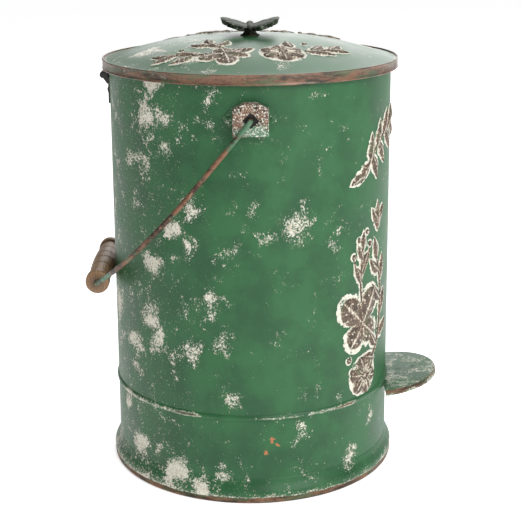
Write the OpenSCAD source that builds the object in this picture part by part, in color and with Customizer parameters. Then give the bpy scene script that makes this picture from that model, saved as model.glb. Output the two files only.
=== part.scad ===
// Pedal trash can: a round sheet-steel can on a flared foot, with a domed lid, a foot pedal
// that lifts the lid through a lever and a rod, a lift-out inner pail and a wire carrying bail.
// The can stands on z = 0 with its axis on Z. The pedal is at -Y and the lid hinge at +Y.

/* [Can] */
// Outside diameter of the can
body_d = 260; // [220:1:330]
// Height of the can's rolled top rim above the floor
body_h = 382; // [300:1:480]
// Thickness of the can's sheet steel
wall = 1; // [0.8:0.1:1.3]
// Radius of the rolled top rim
rim_r = 2.1; // [1.8:0.1:2.3]
// Height of the bead around the can, where the floor plate sits
bead_z = 79.5; // [64:0.5:100]
// How far the bead stands out from the can
bead_out = 1.6; // [1:0.1:2]

/* [Foot ring and floor] */
// How far the flared foot ring stands out from the can
foot_flare = 5.5; // [5:0.5:20]
// Height of the foot ring
foot_h = 22; // [16:1:27]
// Thickness of the floor plate
floor_t = 1.2; // [1:0.1:1.6]
// Depth of the floor plate's turned-down edge
floor_edge_h = 7; // [5:0.5:9]

/* [Lid] */
// Space between the can's rolled rim and the hinge leaf inside the lid's skirt
lid_gap = 0.6; // [0.5:0.1:8]
// Height of the lid's skirt
skirt_h = 9.5; // [7.8:0.1:14]
// Rise of the dome above its edge
dome_h = 19.5; // [15:0.5:40]
// Thickness of the lid's sheet steel
lid_t = 1.2; // [1:0.1:1.4]
// Angle that the lid opens through
lid_open = 70; // [50:1:72]

/* [Hinge] */
// Width of the hinge along its pin
hinge_w = 30; // [24:1:50]
// Outside radius of the hinge knuckles
knuckle_r = 3.2; // [3:0.1:3.4]
// Radius of the hinge pin
hinge_pin_r = 1.5; // [1.2:0.1:1.7]

/* [Pedal and lever] */
// Width of the pedal plate
pedal_w = 101; // [70:1:125]
// How far the pedal plate reaches out from its flat edge
pedal_l = 47; // [39:1:70]
// How far the pedal plate's top lies below the bead at its flat edge
pedal_drop = 6; // [5:0.2:12]
// Upward slope of the pedal plate at rest
pedal_tilt = 8.8; // [7:0.1:12]
// Depth of the pedal plate's turned-down lip
pedal_lip = 5.5; // [4:0.5:8]
// Thickness of the lever
lever_t = 4; // [3:0.5:5]
// Depth of the lever
lever_h = 10; // [8:0.5:11]
// How far the lever's pivot pin lies below the can's floor
pivot_drop = 24; // [21:0.5:29]
// How far the pivot lies in front of the can's axis
pivot_front = 12; // [0:1:30]
// Radius of the lever's pivot pin
pivot_pin_r = 3; // [2.5:0.1:3.5]

/* [Lift rod] */
// Radius of the lift rod
rod_r = 2; // [1.7:0.1:2.2]
// Distance from the hinge pin to the rod's eye on the lid lug
lug_reach = 17.8; // [14:0.1:22]

/* [Inner pail] */
// Space between the inner pail's rim and the lift rod
pail_gap = 6; // [4:1:30]
// How far the inner pail's rim lies below the can's rim
pail_drop = 25; // [22:1:120]
// Thickness of the inner pail's wall
pail_t = 1.6; // [1.4:0.1:2.4]

/* [Bail] */
// Radius of the bail wire
wire_r = 2.2; // [1.8:0.1:2.5]
// How far the bail's pivots lie below the can's rim
bail_drop = 34.5; // [28:0.5:80]
// Angle below horizontal of the wire where it leaves the ears
bail_fall = 50.3; // [46:0.1:54]
// Angle below horizontal from the pivots to the grip, with the bail down
grip_fall = 49; // [42:0.5:52]
// Length of the wooden grip
grip_l = 120; // [90:1:145]
// Radius of the wooden grip at its collars
grip_r = 11; // [9:0.5:14]
// How far the ear faces stand out from the can
ear_out = 11; // [9:0.5:14]
// Width of the raised part of each ear
ear_w = 30; // [24:1:37]

/* [Lid knob] */
// Span of the butterfly's wings
wing_span = 55; // [40:1:80]
// Angle that the wings are raised by
wing_raise = 15; // [0:1:35]
// Height of the post that carries the butterfly
post_h = 5.5; // [5:0.5:20]

/* [Hidden] */

// Number of facets asked of every round; above 12 the rounds are true ones
$fn = 96;

// Clearances
running = 0.06;
side_gap = 0.4;
body_gap = 0.5;

// Can
body_r = body_d / 2;
inner_r = body_r - wall;
body_z0 = 6;
floor_z = bead_z + floor_t / 2;
foot_r = body_r + foot_flare;

// Lid: the dome's edge lies a little below the top of the skirt, over the rolled rim
dome_inset = 1.8;
dome_drop = 1.3;
dome_power = 2.6;
leaf_t = 1;
lid_r = inner_r + 2 * rim_r + lid_gap + leaf_t + lid_t;
dome_r = lid_r - dome_inset;
dome_z0 = body_h + lid_t + body_gap;
skirt_top = dome_z0 + dome_drop;
skirt_z0 = skirt_top - skirt_h;
dome_top = dome_z0 + dome_h;
hem_r = 0.8;

// Hinge, just below the skirt
hinge_y = lid_r - 1;
hinge_z = skirt_z0 - knuckle_r - 3;
body_leaf_t = 1.5;
body_leaf_h = 22;
lid_leaf_h = skirt_h - dome_drop - lid_t - 0.4;
centre_knuckle = hinge_w / 3;
hinge_rivet_r = 1.6;
hinge_rivet_head_r = 3;
hinge_rivet_head_h = 1;
rivet_play = 0.04;

// Lid lug and lift rod: the eye swings half the opening below and above level
lug_t = 2.5;
eye_half = lid_open / 2;
eye_y = hinge_y - lug_reach * cos(eye_half);
eye_z = hinge_z - lug_reach * sin(eye_half);
eye_drift = lug_reach * (1 - cos(eye_half)) / 2;
eye_r = rod_r + eye_drift + side_gap;
eye_wall = 1.4;
lug_edge = norm([hinge_y - inner_r, body_h - hinge_z]) + 1;
lug_w = 12;
rod_y = eye_y - eye_drift;
rod_lift = 2 * lug_reach * sin(eye_half);
rod_bend = 4;
rod_x = rod_bend + lever_t / 2 + body_gap;
clip_r = 4.6;
clip_t = 1;
bush_r = 4;
bush_flange_r = 5.6;
bush_flange_t = 1.2;
bush_h = 6;

// Lever: it swings by equal angles each side of level
pivot_y = -pivot_front;
pivot_z = floor_z - pivot_drop;
rear_arm = rod_y - pivot_y;
half_swing = asin(rod_lift / 2 / rear_arm);
swing = 2 * half_swing;
rear_z = pivot_z - rod_lift / 2;
lever_eye_r = rod_r + 0.6;
rear_boss_r = 6;
pivot_boss_r = 7.5;
bracket_t = 1.5;
bracket_l = 34;
bracket_w = 2 * (lever_t / 2 + side_gap + bracket_t);
bracket_base_w = 36;
bracket_rivet_r = 2;
bracket_rivet_x = 12;
bracket_rivet_head_r = 3.6;
bracket_rivet_head_h = 1.2;

// Pedal
pedal_gap = 2.5;
pedal_z = bead_z - pedal_drop;
pedal_y = -(body_r + pedal_gap);
pedal_t = 1.5;
tab_t = 2.5;
tab_w = 20;
tab_l = 34;
pedal_rivet_r = 2.5;
pedal_rivet_at = [11, 25];
front_top_z = pedal_z - pedal_t - tab_t;
front_z = front_top_z - lever_h / 2;
slot_clear = 1.2;
slot_w = lever_t + 5;
pressed_z = pivot_z + (pedal_y - pivot_y) * sin(swing) + (front_z - lever_h / 2 - pivot_z) * cos(swing);
slot_z0 = pressed_z - slot_clear;
slot_z1 = front_top_z + slot_clear;

// Inner pail
pail_r = rod_y - rod_r - pail_gap;
pail_h = body_h - pail_drop - floor_z;
pail_taper = 7;
pail_foot_h = 3;
pail_rim_r = 2;
pail_z0 = floor_z;
finger_w = 60;
finger_h = 16;
finger_drop = 12;

// Bail
bail_z = body_h - bail_drop;
ear_x = body_r + ear_out;
ear_low = 13.6;
ear_shoulder = 9.5;
ear_peak = 14.6;
ear_wall = 1.6;
ear_web_t = 3;
recess_t = 2;
backing_t = 1.5;
backing_half_w = ear_w / 2 + 8.7;
backing_half_h = 11;
ear_rivet_y = ear_w / 2 + 3.4;
ear_rivet_r = 1.5;
ear_rivet_head_r = 2.4;
ear_rivet_head_h = 0.8;
wire_head_r = 4;
wire_head_t = 1.5;
hook_bend = 5;
sleeve_r = wire_r + 0.05;
sleeve_l = 0.6;
arm_x = ear_x + hook_bend;
knee = 90;
arch_turn = 50;
grip_bend = 8;
grip_gap = 0.6;
grip_y = body_r + grip_r + grip_gap;
grip_drop = grip_y * tan(grip_fall);
knee_y = knee * cos(bail_fall);
knee_drop = knee * sin(bail_fall);
arch_fall = atan2(grip_drop - knee_drop, grip_y - knee_y);
arch_l = norm([grip_y - knee_y, grip_drop - knee_drop]);
grip_end_x = grip_l / 2 + 1.5;
arch_w = arm_x - grip_end_x - grip_bend * cos(arch_turn);
arch_run = arch_l - grip_bend * (1 - sin(arch_turn));
arch_r = (arch_run * sin(arch_turn) - arch_w * cos(arch_turn)) / (1 - cos(arch_turn));
arch_straight = (arch_run - arch_r * sin(arch_turn)) / cos(arch_turn);

// Knob
post_r = 6;
post_foot_r = 9;
knob_screw_r = 2;
knob_z = dome_top + post_h;
wing_t = 2.4;

// ---------- shared shapes ----------

// Height of the dome's outer surface at a distance from the axis
function dome_at(r) = dome_z0 + dome_h * pow(max(0, 1 - pow(r / dome_r, dome_power)), 1.22);

// Distances from the axis at which the dome's outline is taken, closer towards its edge
dome_steps = 28;
dome_radii = [for (i = [0:dome_steps]) dome_r * sin(90 * i / dome_steps)];

// Outline of the space below the dome's surface, lowered by a depth
module under_dome(depth) {
    polygon(concat(
        [[0, skirt_z0]],
        [for (r = dome_radii) [r, dome_at(r) - depth]],
        [[dome_r, skirt_z0]]
    ));
}

// A cylinder along X, centred on x
module x_rod(r, length, x = 0) {
    translate([x - length / 2, 0, 0]) rotate([0, 90, 0]) cylinder(r = r, h = length);
}

// A plate in the YZ plane, centred on x, with its outline drawn in Y and Z
module yz_plate(thickness, x = 0) {
    translate([x - thickness / 2, 0, 0]) rotate([90, 0, 90]) linear_extrude(thickness) children();
}

// Points around a rolled edge of twelve flats, going clockwise from one angle to another
function rolled(x, z, r, from, to) =
    [for (a = [from:-30:to]) [x + r / cos(15) * cos(a), z + r / cos(15) * sin(a)]];

// A low domed rivet head on z = 0
module rivet_head(r, h) {
    ball_r = (r * r + h * h) / (2 * h);
    rotate_extrude() intersection() {
        translate([0, h - ball_r]) circle(r = ball_r);
        square([r, h]);
    }
}

// ---------- can ----------

// Outline of the can's wall: up the inside, over the rolled rim and down past the bead
module body_profile() {
    rim_z = body_h - rim_r;
    bead_x = body_r - bead_out;
    polygon(concat(
        [[inner_r, body_z0]],
        rolled(inner_r + rim_r, rim_z, rim_r, 165, -105),
        [[body_r, rim_z - 0.85 * rim_r]],
        [for (a = [60:-15:-60]) [bead_x + 2 * bead_out * cos(a), bead_z + 2 * bead_out * sin(a)]],
        [[body_r, body_z0]]
    ));
}

module body_shell() {
    color([0.16, 0.36, 0.22]) difference() {
        rotate_extrude() body_profile();
        // Slot that the pedal lever passes through
        translate([-slot_w / 2, -body_r - 5, slot_z0]) cube([slot_w, 10, slot_z1 - slot_z0]);
        hinge_rivet_holes();
        ear_rivet_holes();
    }
}

// Outline of the foot ring: down its flared outside, around the rolled edge and up the inside
module foot_profile() {
    hem = 2.6;
    polygon(concat(
        [
            [body_r, foot_h],
            [body_r + wall, foot_h],
            [body_r + wall, foot_h - 4],
            [foot_r, foot_h / 2],
        ],
        rolled(foot_r - hem, hem, hem, -15, -285),
        [
            [foot_r - wall, 1.78 * hem],
            [foot_r - wall, foot_h / 2 - 0.6],
            [body_r, foot_h - 4.6],
        ]
    ));
}

module foot_ring() {
    color([0.24, 0.20, 0.14]) rotate_extrude() foot_profile();
}

module floor_plate() {
    color([0.45, 0.45, 0.42]) difference() {
        rotate_extrude() {
            translate([0, floor_z - floor_t]) square([inner_r, floor_t]);
            translate([inner_r - floor_t, floor_z - floor_edge_h]) square([floor_t, floor_edge_h]);
        }
        translate([rod_x, rod_y, floor_z - 2 * floor_t]) cylinder(r = bush_r, h = 4 * floor_t);
        bracket_rivet_holes();
    }
}

// ---------- lever bracket ----------

module at_bracket_rivets() {
    for (x = [-1, 1], y = [-1, 1]) {
        translate([x * bracket_rivet_x, pivot_y + y * bracket_l / 4, floor_z]) children();
    }
}

module bracket_rivet_holes() {
    at_bracket_rivets() translate([0, 0, -3 * floor_t]) cylinder(r = bracket_rivet_r, h = 6 * floor_t);
}

module pivot_bracket() {
    top = floor_z - floor_t;
    color([0.45, 0.45, 0.42]) difference() {
        union() {
            translate([-bracket_base_w / 2, pivot_y - bracket_l / 2, top - bracket_t])
                cube([bracket_base_w, bracket_l, bracket_t]);
            for (side = [-1, 1]) translate([0, pivot_y, 0]) {
                yz_plate(bracket_t, side * (bracket_w - bracket_t) / 2) bracket_ear_outline(top);
            }
        }
        translate([0, pivot_y, pivot_z]) x_rod(pivot_pin_r + 0.02, bracket_base_w);
        bracket_rivet_holes();
    }
}

module bracket_ear_outline(top) {
    translate([0, pivot_z]) circle(r = pivot_boss_r);
    polygon([
        [-pivot_boss_r, pivot_z],
        [pivot_boss_r, pivot_z],
        [bracket_l / 2, top - bracket_t],
        [bracket_l / 2, top],
        [-bracket_l / 2, top],
        [-bracket_l / 2, top - bracket_t],
    ]);
}

module pivot_bracket_rivets() {
    below = floor_z - floor_t - bracket_t;
    color([0.6, 0.58, 0.54]) at_bracket_rivets() {
        rivet_head(bracket_rivet_head_r, bracket_rivet_head_h);
        translate([0, 0, below - floor_z]) cylinder(r = bracket_rivet_r, h = floor_z - below);
        translate([0, 0, below - floor_z]) mirror([0, 0, 1])
            rivet_head(bracket_rivet_head_r, bracket_rivet_head_h);
    }
}

module lever_pivot_pin() {
    head = 1.4;
    color([0.6, 0.58, 0.54]) translate([0, pivot_y, pivot_z]) {
        x_rod(pivot_pin_r, bracket_w + 2 * head);
        for (side = [-1, 1]) x_rod(pivot_pin_r + 2, head, side * (bracket_w + head) / 2);
    }
}

// ---------- ears for the bail ----------

module ear_backing(side) {
    // A hexagonal plate with a point at each side, curved to the can
    outline = [
        [-backing_half_w, 0],
        [-ear_w / 2, backing_half_h],
        [ear_w / 2, backing_half_h],
        [backing_half_w, 0],
        [ear_w / 2, -backing_half_h],
        [-ear_w / 2, -backing_half_h],
    ];
    color([0.2, 0.4, 0.26]) difference() {
        intersection() {
            translate([0, 0, bail_z]) yz_plate(body_r, side * (body_r / 2 + wall + backing_t)) polygon(outline);
            cylinder(r = body_r + backing_t, h = body_h);
        }
        cylinder(r = body_r, h = body_h);
        ear_rivet_holes();
    }
}

module left_ear_backing() { ear_backing(-1); }
module right_ear_backing() { ear_backing(1); }

// House-shaped outline of a bail ear, drawn smaller by an inset
module ear_outline(inset = 0) {
    half = ear_w / 2 - inset;
    polygon([
        [-half, -ear_low + inset],
        [half, -ear_low + inset],
        [half, ear_shoulder - inset],
        [half / 3, ear_peak - inset],
        [-half / 3, ear_peak - inset],
        [-half, ear_shoulder - inset],
    ]);
}

module bail_ear(side) {
    web_x = ear_x - recess_t - ear_web_t;
    diamond_r = 7;
    color([0.55, 0.42, 0.3]) difference() {
        translate([0, 0, bail_z]) difference() {
            yz_plate(ear_x - body_r + 6, side * (ear_x + body_r - 6) / 2) ear_outline();
            // Pocket for the head on the wire's end
            yz_plate(20, side * (web_x - 10)) ear_outline(ear_wall);
            // Diamond recess around the wire
            yz_plate(2 * recess_t, side * ear_x) circle(r = diamond_r, $fn = 4);
            x_rod(wire_r + running, 40, side * ear_x);
        }
        cylinder(r = body_r + backing_t, h = body_h);
    }
}

module left_bail_ear() { bail_ear(-1); }
module right_bail_ear() { bail_ear(1); }

// Both rivets of each ear lie square to the can's surface
module at_ear_rivets() {
    turn = asin(ear_rivet_y / body_r);
    for (side = [0, 180], end = [-1, 1]) {
        rotate([0, 0, side + end * turn]) translate([body_r, 0, bail_z]) children();
    }
}

module ear_rivet_holes() {
    at_ear_rivets() x_rod(ear_rivet_r, 12);
}

module ear_rivets() {
    color([0.3, 0.42, 0.3]) at_ear_rivets() {
        translate([-wall - 0.2, 0, 0]) rotate([0, 90, 0])
            cylinder(r = ear_rivet_r - rivet_play, h = wall + backing_t + 0.4);
        translate([backing_t, 0, 0]) rotate([0, 90, 0]) rivet_head(ear_rivet_head_r, ear_rivet_head_h);
        translate([-wall - rivet_play, 0, 0]) rotate([0, -90, 0]) rivet_head(ear_rivet_head_r, ear_rivet_head_h);
    }
}

// ---------- hinge ----------

module at_hinge_rivets(z) {
    for (side = [-1, 1]) {
        rotate([0, 0, side * asin(hinge_w / 3.4 / body_r)]) translate([0, body_r, z]) children();
    }
}

module hinge_rivet_holes() {
    at_hinge_rivets(hinge_z - body_leaf_h / 2 - knuckle_r) rotate([90, 0, 0])
        cylinder(r = hinge_rivet_r, h = 12, center = true);
}

module hinge_body_leaf() {
    top = hinge_z - knuckle_r - 1;
    color([0.12, 0.12, 0.11]) difference() {
        union() {
            intersection() {
                translate([-hinge_w / 2, 0, top - body_leaf_h]) cube([hinge_w, 2 * body_r, body_leaf_h]);
                difference() {
                    cylinder(r = body_r + body_leaf_t, h = body_h);
                    translate([0, 0, -1]) cylinder(r = body_r, h = body_h + 2);
                }
            }
            // The leaf's top bends out to the two outer knuckles
            for (side = [-1, 1]) {
                outer_knuckle(side);
            }
        }
        hinge_rivet_holes();
    }
}

module outer_knuckle(side) {
    length = (hinge_w - centre_knuckle) / 2 - side_gap;
    x = side * (hinge_w - length) / 2;
    root_y = body_r + 0.02;
    top = hinge_z - knuckle_r - 1;
    difference() {
        union() {
            translate([0, hinge_y, hinge_z]) x_rod(knuckle_r, length, x);
            difference() {
                yz_plate(length, x) polygon([
                    [body_r - 2, top - 4],
                    [root_y + body_leaf_t, top - 4],
                    [hinge_y, hinge_z - knuckle_r],
                    [hinge_y, hinge_z],
                    [hinge_y - knuckle_r, hinge_z],
                    [body_r - 2, top - 0.5],
                ]);
                cylinder(r = body_r, h = body_h);
            }
        }
        translate([0, hinge_y, hinge_z]) x_rod(hinge_pin_r + 0.02, hinge_w + 2);
    }
}

module hinge_body_rivets() {
    color([0.35, 0.33, 0.3]) at_hinge_rivets(hinge_z - body_leaf_h / 2 - knuckle_r) {
        translate([0, -wall - 0.2, 0]) rotate([-90, 0, 0])
            cylinder(r = hinge_rivet_r - rivet_play, h = wall + body_leaf_t + 0.4);
        translate([0, body_leaf_t, 0]) rotate([-90, 0, 0]) rivet_head(hinge_rivet_head_r, hinge_rivet_head_h);
        translate([0, -wall - rivet_play, 0]) rotate([90, 0, 0])
            rivet_head(hinge_rivet_head_r, hinge_rivet_head_h);
    }
}

module hinge_pin() {
    head = 1;
    color([0.3, 0.28, 0.26]) translate([0, hinge_y, hinge_z]) {
        x_rod(hinge_pin_r, hinge_w + 2 * head);
        for (side = [-1, 1]) x_rod(hinge_pin_r + 0.9, head, side * (hinge_w + head) / 2);
    }
}

module hinge_lid_leaf() {
    outer = lid_r - lid_t;
    length = centre_knuckle - 2 * side_gap;
    color([0.12, 0.12, 0.11]) difference() {
        union() {
            translate([0, hinge_y, hinge_z]) x_rod(knuckle_r, centre_knuckle);
            intersection() {
                translate([-length / 2, 0, hinge_z]) cube([length, 2 * lid_r, lid_leaf_h + skirt_z0 - hinge_z]);
                difference() {
                    cylinder(r = outer, h = 2 * body_h);
                    translate([0, 0, -1]) cylinder(r = outer - leaf_t, h = 2 * body_h + 2);
                }
            }
        }
        translate([0, hinge_y, hinge_z]) x_rod(hinge_pin_r + running, hinge_w);
        lid_rivet_holes();
    }
}

module at_lid_rivets() {
    for (side = [-1, 1]) {
        rotate([0, 0, side * asin(centre_knuckle / 4 / lid_r)])
            translate([0, lid_r - lid_t, skirt_z0 + skirt_h / 2 - 0.2]) children();
    }
}

module lid_rivet_holes() {
    at_lid_rivets() rotate([90, 0, 0]) cylinder(r = 1, h = 8, center = true);
}

module hinge_lid_rivets() {
    color([0.5, 0.4, 0.3]) at_lid_rivets() {
        translate([0, -leaf_t, 0]) rotate([-90, 0, 0]) cylinder(r = 1 - rivet_play, h = leaf_t + lid_t + 0.2);
        translate([0, lid_t, 0]) rotate([-90, 0, 0]) rivet_head(1.8, 0.6);
    }
}

// ---------- lid ----------

// Outline of the lid: over the dome, down the skirt, rolled at its top and bottom, and back below
module lid_profile() {
    skirt_in = lid_r - lid_t;
    hem_x = skirt_in + hem_r;
    polygon(concat(
        [for (r = dome_radii) [r, dome_at(r)]],
        [[skirt_in, dome_z0]],
        rolled(hem_x, skirt_top - hem_r, hem_r, 165, -45),
        [[lid_r, skirt_top - 1.9 * hem_r], [lid_r, skirt_z0 + 1.9 * hem_r]],
        rolled(hem_x, skirt_z0 + hem_r, hem_r, 45, -165),
        [[skirt_in, dome_z0 - lid_t]],
        [for (i = [dome_steps:-1:0]) [dome_radii[i], dome_at(dome_radii[i]) - lid_t]]
    ));
}

module lid_shell() {
    color([0.18, 0.38, 0.24]) difference() {
        rotate_extrude() lid_profile();
        translate([0, 0, dome_z0]) cylinder(r = knob_screw_r, h = 2 * dome_h);
        lid_rivet_holes();
    }
}

// Plate with an eye for the rod, hanging inside the can from a foot welded under the lid
module lid_lug() {
    foot_w = 24;
    foot_t = 1.5;
    edge_y = hinge_y - lug_edge;
    back_y = edge_y - lug_w;
    color([0.45, 0.45, 0.42]) {
        difference() {
            intersection() {
                yz_plate(lug_t) {
                    translate([eye_y, eye_z]) circle(r = eye_r + eye_wall);
                    polygon([
                        [eye_y, eye_z + eye_r + eye_wall],
                        [edge_y, hinge_z - 1],
                        [edge_y, dome_top],
                        [back_y, dome_top],
                        [back_y, hinge_z - 4],
                        [edge_y - 2, eye_z - eye_r],
                        [eye_y, eye_z - eye_r - eye_wall],
                    ]);
                }
                union() {
                    rotate_extrude() under_dome(lid_t);
                    translate([0, 0, skirt_z0 - 60]) cylinder(r = dome_r, h = 61);
                }
            }
            translate([0, eye_y, eye_z]) x_rod(eye_r, 20);
        }
        intersection() {
            translate([-foot_w / 2, back_y - 8, skirt_z0]) cube([foot_w, lug_w + 8, 2 * dome_h]);
            rotate_extrude() difference() {
                under_dome(lid_t);
                under_dome(lid_t + foot_t);
            }
        }
    }
}

// ---------- butterfly knob ----------

module wing_outline() {
    fore = wing_span / 4;
    hind = wing_span / 5.6;
    reach = wing_span / 2;
    translate([7, reach - fore]) circle(r = fore);
    translate([-11, reach - hind - 5]) circle(r = hind);
    polygon([[11, 0], [20, reach - fore - 4], [-2, reach - fore], [-18, reach - hind - 9], [-12, 0]]);
}

module butterfly_knob() {
    body_w = 3.2;
    hub_r = post_r - 1;
    color([0.28, 0.34, 0.24]) difference() {
        union() {
            for (side = [0, 1]) mirror([0, side, 0]) {
                translate([0, 1, knob_z + 2]) rotate([wing_raise, 0, 0]) linear_extrude(wing_t) wing_outline();
            }
            translate([0, 0, knob_z + body_w]) {
                x_rod(body_w, 34);
                translate([17, 0, 0]) sphere(r = body_w + 0.8);
                translate([-17, 0, 0]) sphere(r = body_w);
            }
            translate([0, 0, knob_z]) cylinder(r = hub_r, h = 4);
        }
        translate([0, 0, knob_z - 1]) cylinder(r = knob_screw_r, h = 4.5);
    }
}

module knob_post() {
    // Its foot is hollowed to sit on the crown of the lid
    color([0.28, 0.34, 0.24]) difference() {
        rotate_extrude() difference() {
            union() {
                translate([0, dome_at(post_foot_r)]) square([post_foot_r, dome_top + 2 - dome_at(post_foot_r)]);
                translate([0, dome_top]) square([post_r, post_h]);
            }
            translate([post_foot_r + 1.5, dome_top + 5]) circle(r = 4.6);
            under_dome(0);
        }
        translate([0, 0, dome_z0]) cylinder(r = knob_screw_r, h = 2 * dome_h + post_h);
    }
}

module knob_washer() {
    color([0.6, 0.58, 0.54]) difference() {
        translate([0, 0, dome_at(7) - lid_t - 1]) cylinder(r = 7, h = 1);
        translate([0, 0, dome_z0]) cylinder(r = knob_screw_r, h = 2 * dome_h);
    }
}

module knob_screw() {
    head_h = 2.4;
    top = dome_at(7) - lid_t - 1;
    color([0.6, 0.58, 0.54]) difference() {
        union() {
            translate([0, 0, top]) cylinder(r = knob_screw_r, h = knob_z + 3 - top);
            translate([0, 0, top]) mirror([0, 0, 1]) rivet_head(4, head_h);
        }
        translate([-5, -0.5, top - head_h - 1]) cube([10, 1, 2]);
    }
}

// ---------- pedal and lever ----------

// Places children in the pedal's own frame: y = 0 at the flat edge, out towards -Y, top at z = 0
module on_pedal() {
    translate([0, pedal_y, pedal_z]) rotate([-pedal_tilt, 0, 0]) children();
}

module pedal_outline(inset = 0) {
    round_r = pedal_w / 2;
    straight = pedal_l - round_r;
    translate([0, -straight]) circle(r = round_r - inset);
    if (straight > 0) translate([-round_r + inset, -straight]) square([2 * (round_r - inset), straight]);
}

module pedal_half(depth, inset = 0) {
    translate([0, 0, -depth]) linear_extrude(depth) intersection() {
        pedal_outline(inset);
        translate([-pedal_w, -2 * pedal_l]) square([2 * pedal_w, 2 * pedal_l]);
    }
}

module pedal_plate() {
    color([0.2, 0.34, 0.24]) on_pedal() difference() {
        pedal_half(pedal_lip);
        translate([0, 0, -pedal_t]) pedal_half(pedal_lip, pedal_t);
        translate([-pedal_w / 2 + pedal_t, -1, -2 * pedal_lip])
            cube([pedal_w - 2 * pedal_t, 2, 2 * pedal_lip - pedal_t]);
        for (y = pedal_rivet_at) translate([0, -y, -pedal_lip]) cylinder(r = pedal_rivet_r, h = 2 * pedal_lip);
    }
}

module pedal_rivets() {
    color([0.6, 0.58, 0.54]) on_pedal() for (y = pedal_rivet_at) translate([0, -y, 0]) {
        translate([0, 0, -pedal_t - tab_t]) cylinder(r = pedal_rivet_r, h = pedal_t + tab_t);
    }
}

module lever_outline() {
    translate([rod_y, rear_z]) circle(r = rear_boss_r);
    translate([pivot_y, pivot_z]) circle(r = pivot_boss_r);
    polygon([
        [rod_y, rear_z + lever_h / 2],
        [pivot_y, pivot_z + lever_h / 2],
        [pedal_y, front_top_z],
        [pedal_y, front_top_z - lever_h],
        [pivot_y, pivot_z - lever_h / 2],
        [rod_y, rear_z - lever_h / 2],
    ]);
}

module pedal_lever() {
    web_l = tab_l - 4;
    color([0.3, 0.3, 0.27]) difference() {
        union() {
            yz_plate(lever_t) lever_outline();
            on_pedal() {
                translate([-tab_w / 2, -tab_l, -pedal_t - tab_t]) cube([tab_w, tab_l, tab_t]);
                yz_plate(lever_t) polygon([
                    [0, -pedal_t - 0.5],
                    [-web_l, -pedal_t - 0.5],
                    [-web_l, -pedal_t - tab_t - 2],
                    [-2, -pedal_t - tab_t - lever_h],
                    [3, -pedal_t - tab_t - lever_h + 1],
                    [3, -pedal_t - tab_t],
                ]);
            }
        }
        translate([0, pivot_y, pivot_z]) x_rod(pivot_pin_r + running, 20);
        translate([0, rod_y, rear_z]) x_rod(lever_eye_r, 20);
        on_pedal() for (y = pedal_rivet_at) {
            translate([0, -y, -pedal_t - tab_t - 1]) cylinder(r = pedal_rivet_r, h = 2 * tab_t);
        }
    }
}

// ---------- lift rod ----------

module rod_hook(z, up) {
    // Quarter bend from the upright rod into the hook that points towards -X
    translate([rod_x - rod_bend, rod_y, z + up * rod_bend]) rotate([90, 0, 0])
        rotate([0, 0, up > 0 ? -90 : 0]) rotate_extrude(angle = 90) translate([rod_bend, 0]) circle(r = rod_r);
    length = rod_x - rod_bend + clip_end();
    translate([0, rod_y, z]) x_rod(rod_r, length, rod_x - rod_bend - length / 2);
}

function clip_x() = -(lever_t / 2 + body_gap + clip_t / 2);
function clip_end() = -clip_x() + clip_t / 2 + 1;

module lift_rod() {
    color([0.6, 0.58, 0.54]) {
        translate([rod_x, rod_y, rear_z + rod_bend]) cylinder(r = rod_r, h = eye_z - rear_z - 2 * rod_bend);
        rod_hook(rear_z, 1);
        rod_hook(eye_z, -1);
    }
}

module rod_clips() {
    color([0.3, 0.3, 0.3]) for (z = [rear_z, eye_z]) translate([0, rod_y, z]) difference() {
        x_rod(clip_r, clip_t, clip_x());
        x_rod(rod_r, 20);
    }
}

module rod_guide() {
    color([0.1, 0.1, 0.1]) translate([rod_x, rod_y, floor_z]) rotate_extrude() difference() {
        union() {
            translate([0, -bush_h + bush_flange_t]) square([bush_r, bush_h]);
            square([bush_flange_r, bush_flange_t]);
        }
        translate([-1, -bush_h]) square([rod_r + side_gap + 1, 2 * bush_h]);
    }
}

// ---------- inner pail ----------

module inner_pail() {
    low_r = pail_r - pail_taper;
    top_z = pail_z0 + pail_h;
    color([0.07, 0.07, 0.07]) difference() {
        rotate_extrude() {
            polygon([
                [0, pail_z0 + pail_foot_h],
                [low_r - 4 * pail_t, pail_z0 + pail_foot_h],
                [low_r - 3 * pail_t, pail_z0],
                [low_r, pail_z0],
                [pail_r - pail_rim_r, top_z],
                [pail_r - pail_rim_r - pail_t, top_z],
                [low_r - pail_t, pail_z0 + pail_foot_h + pail_t],
                [0, pail_z0 + pail_foot_h + pail_t],
            ]);
            translate([pail_r - pail_rim_r, top_z - pail_rim_r]) circle(r = pail_rim_r);
        }
        // A finger hole at each side to lift the pail by
        translate([-2 * pail_r, -finger_w / 2 + finger_h / 2, top_z - finger_drop - finger_h])
            cube([4 * pail_r, finger_w - finger_h, finger_h]);
        for (end = [-1, 1]) translate([0, end * (finger_w - finger_h) / 2, top_z - finger_drop - finger_h / 2])
            x_rod(finger_h / 2, 4 * pail_r);
    }
}

// ---------- bail ----------

// Places children at a point of the bail, with -Z running down along the wire
module down_wire(y, drop, fall) {
    translate([0, y, bail_z - drop]) rotate([90 - fall, 0, 0]) children();
}

// A short sleeve where two lengths of the wire meet, turned to lie along it
module wire_sleeve(x, z, turn) {
    translate([x, 0, z]) rotate([0, turn, 0]) translate([0, 0, -sleeve_l / 2])
        cylinder(r = sleeve_r, h = sleeve_l);
}

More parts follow.
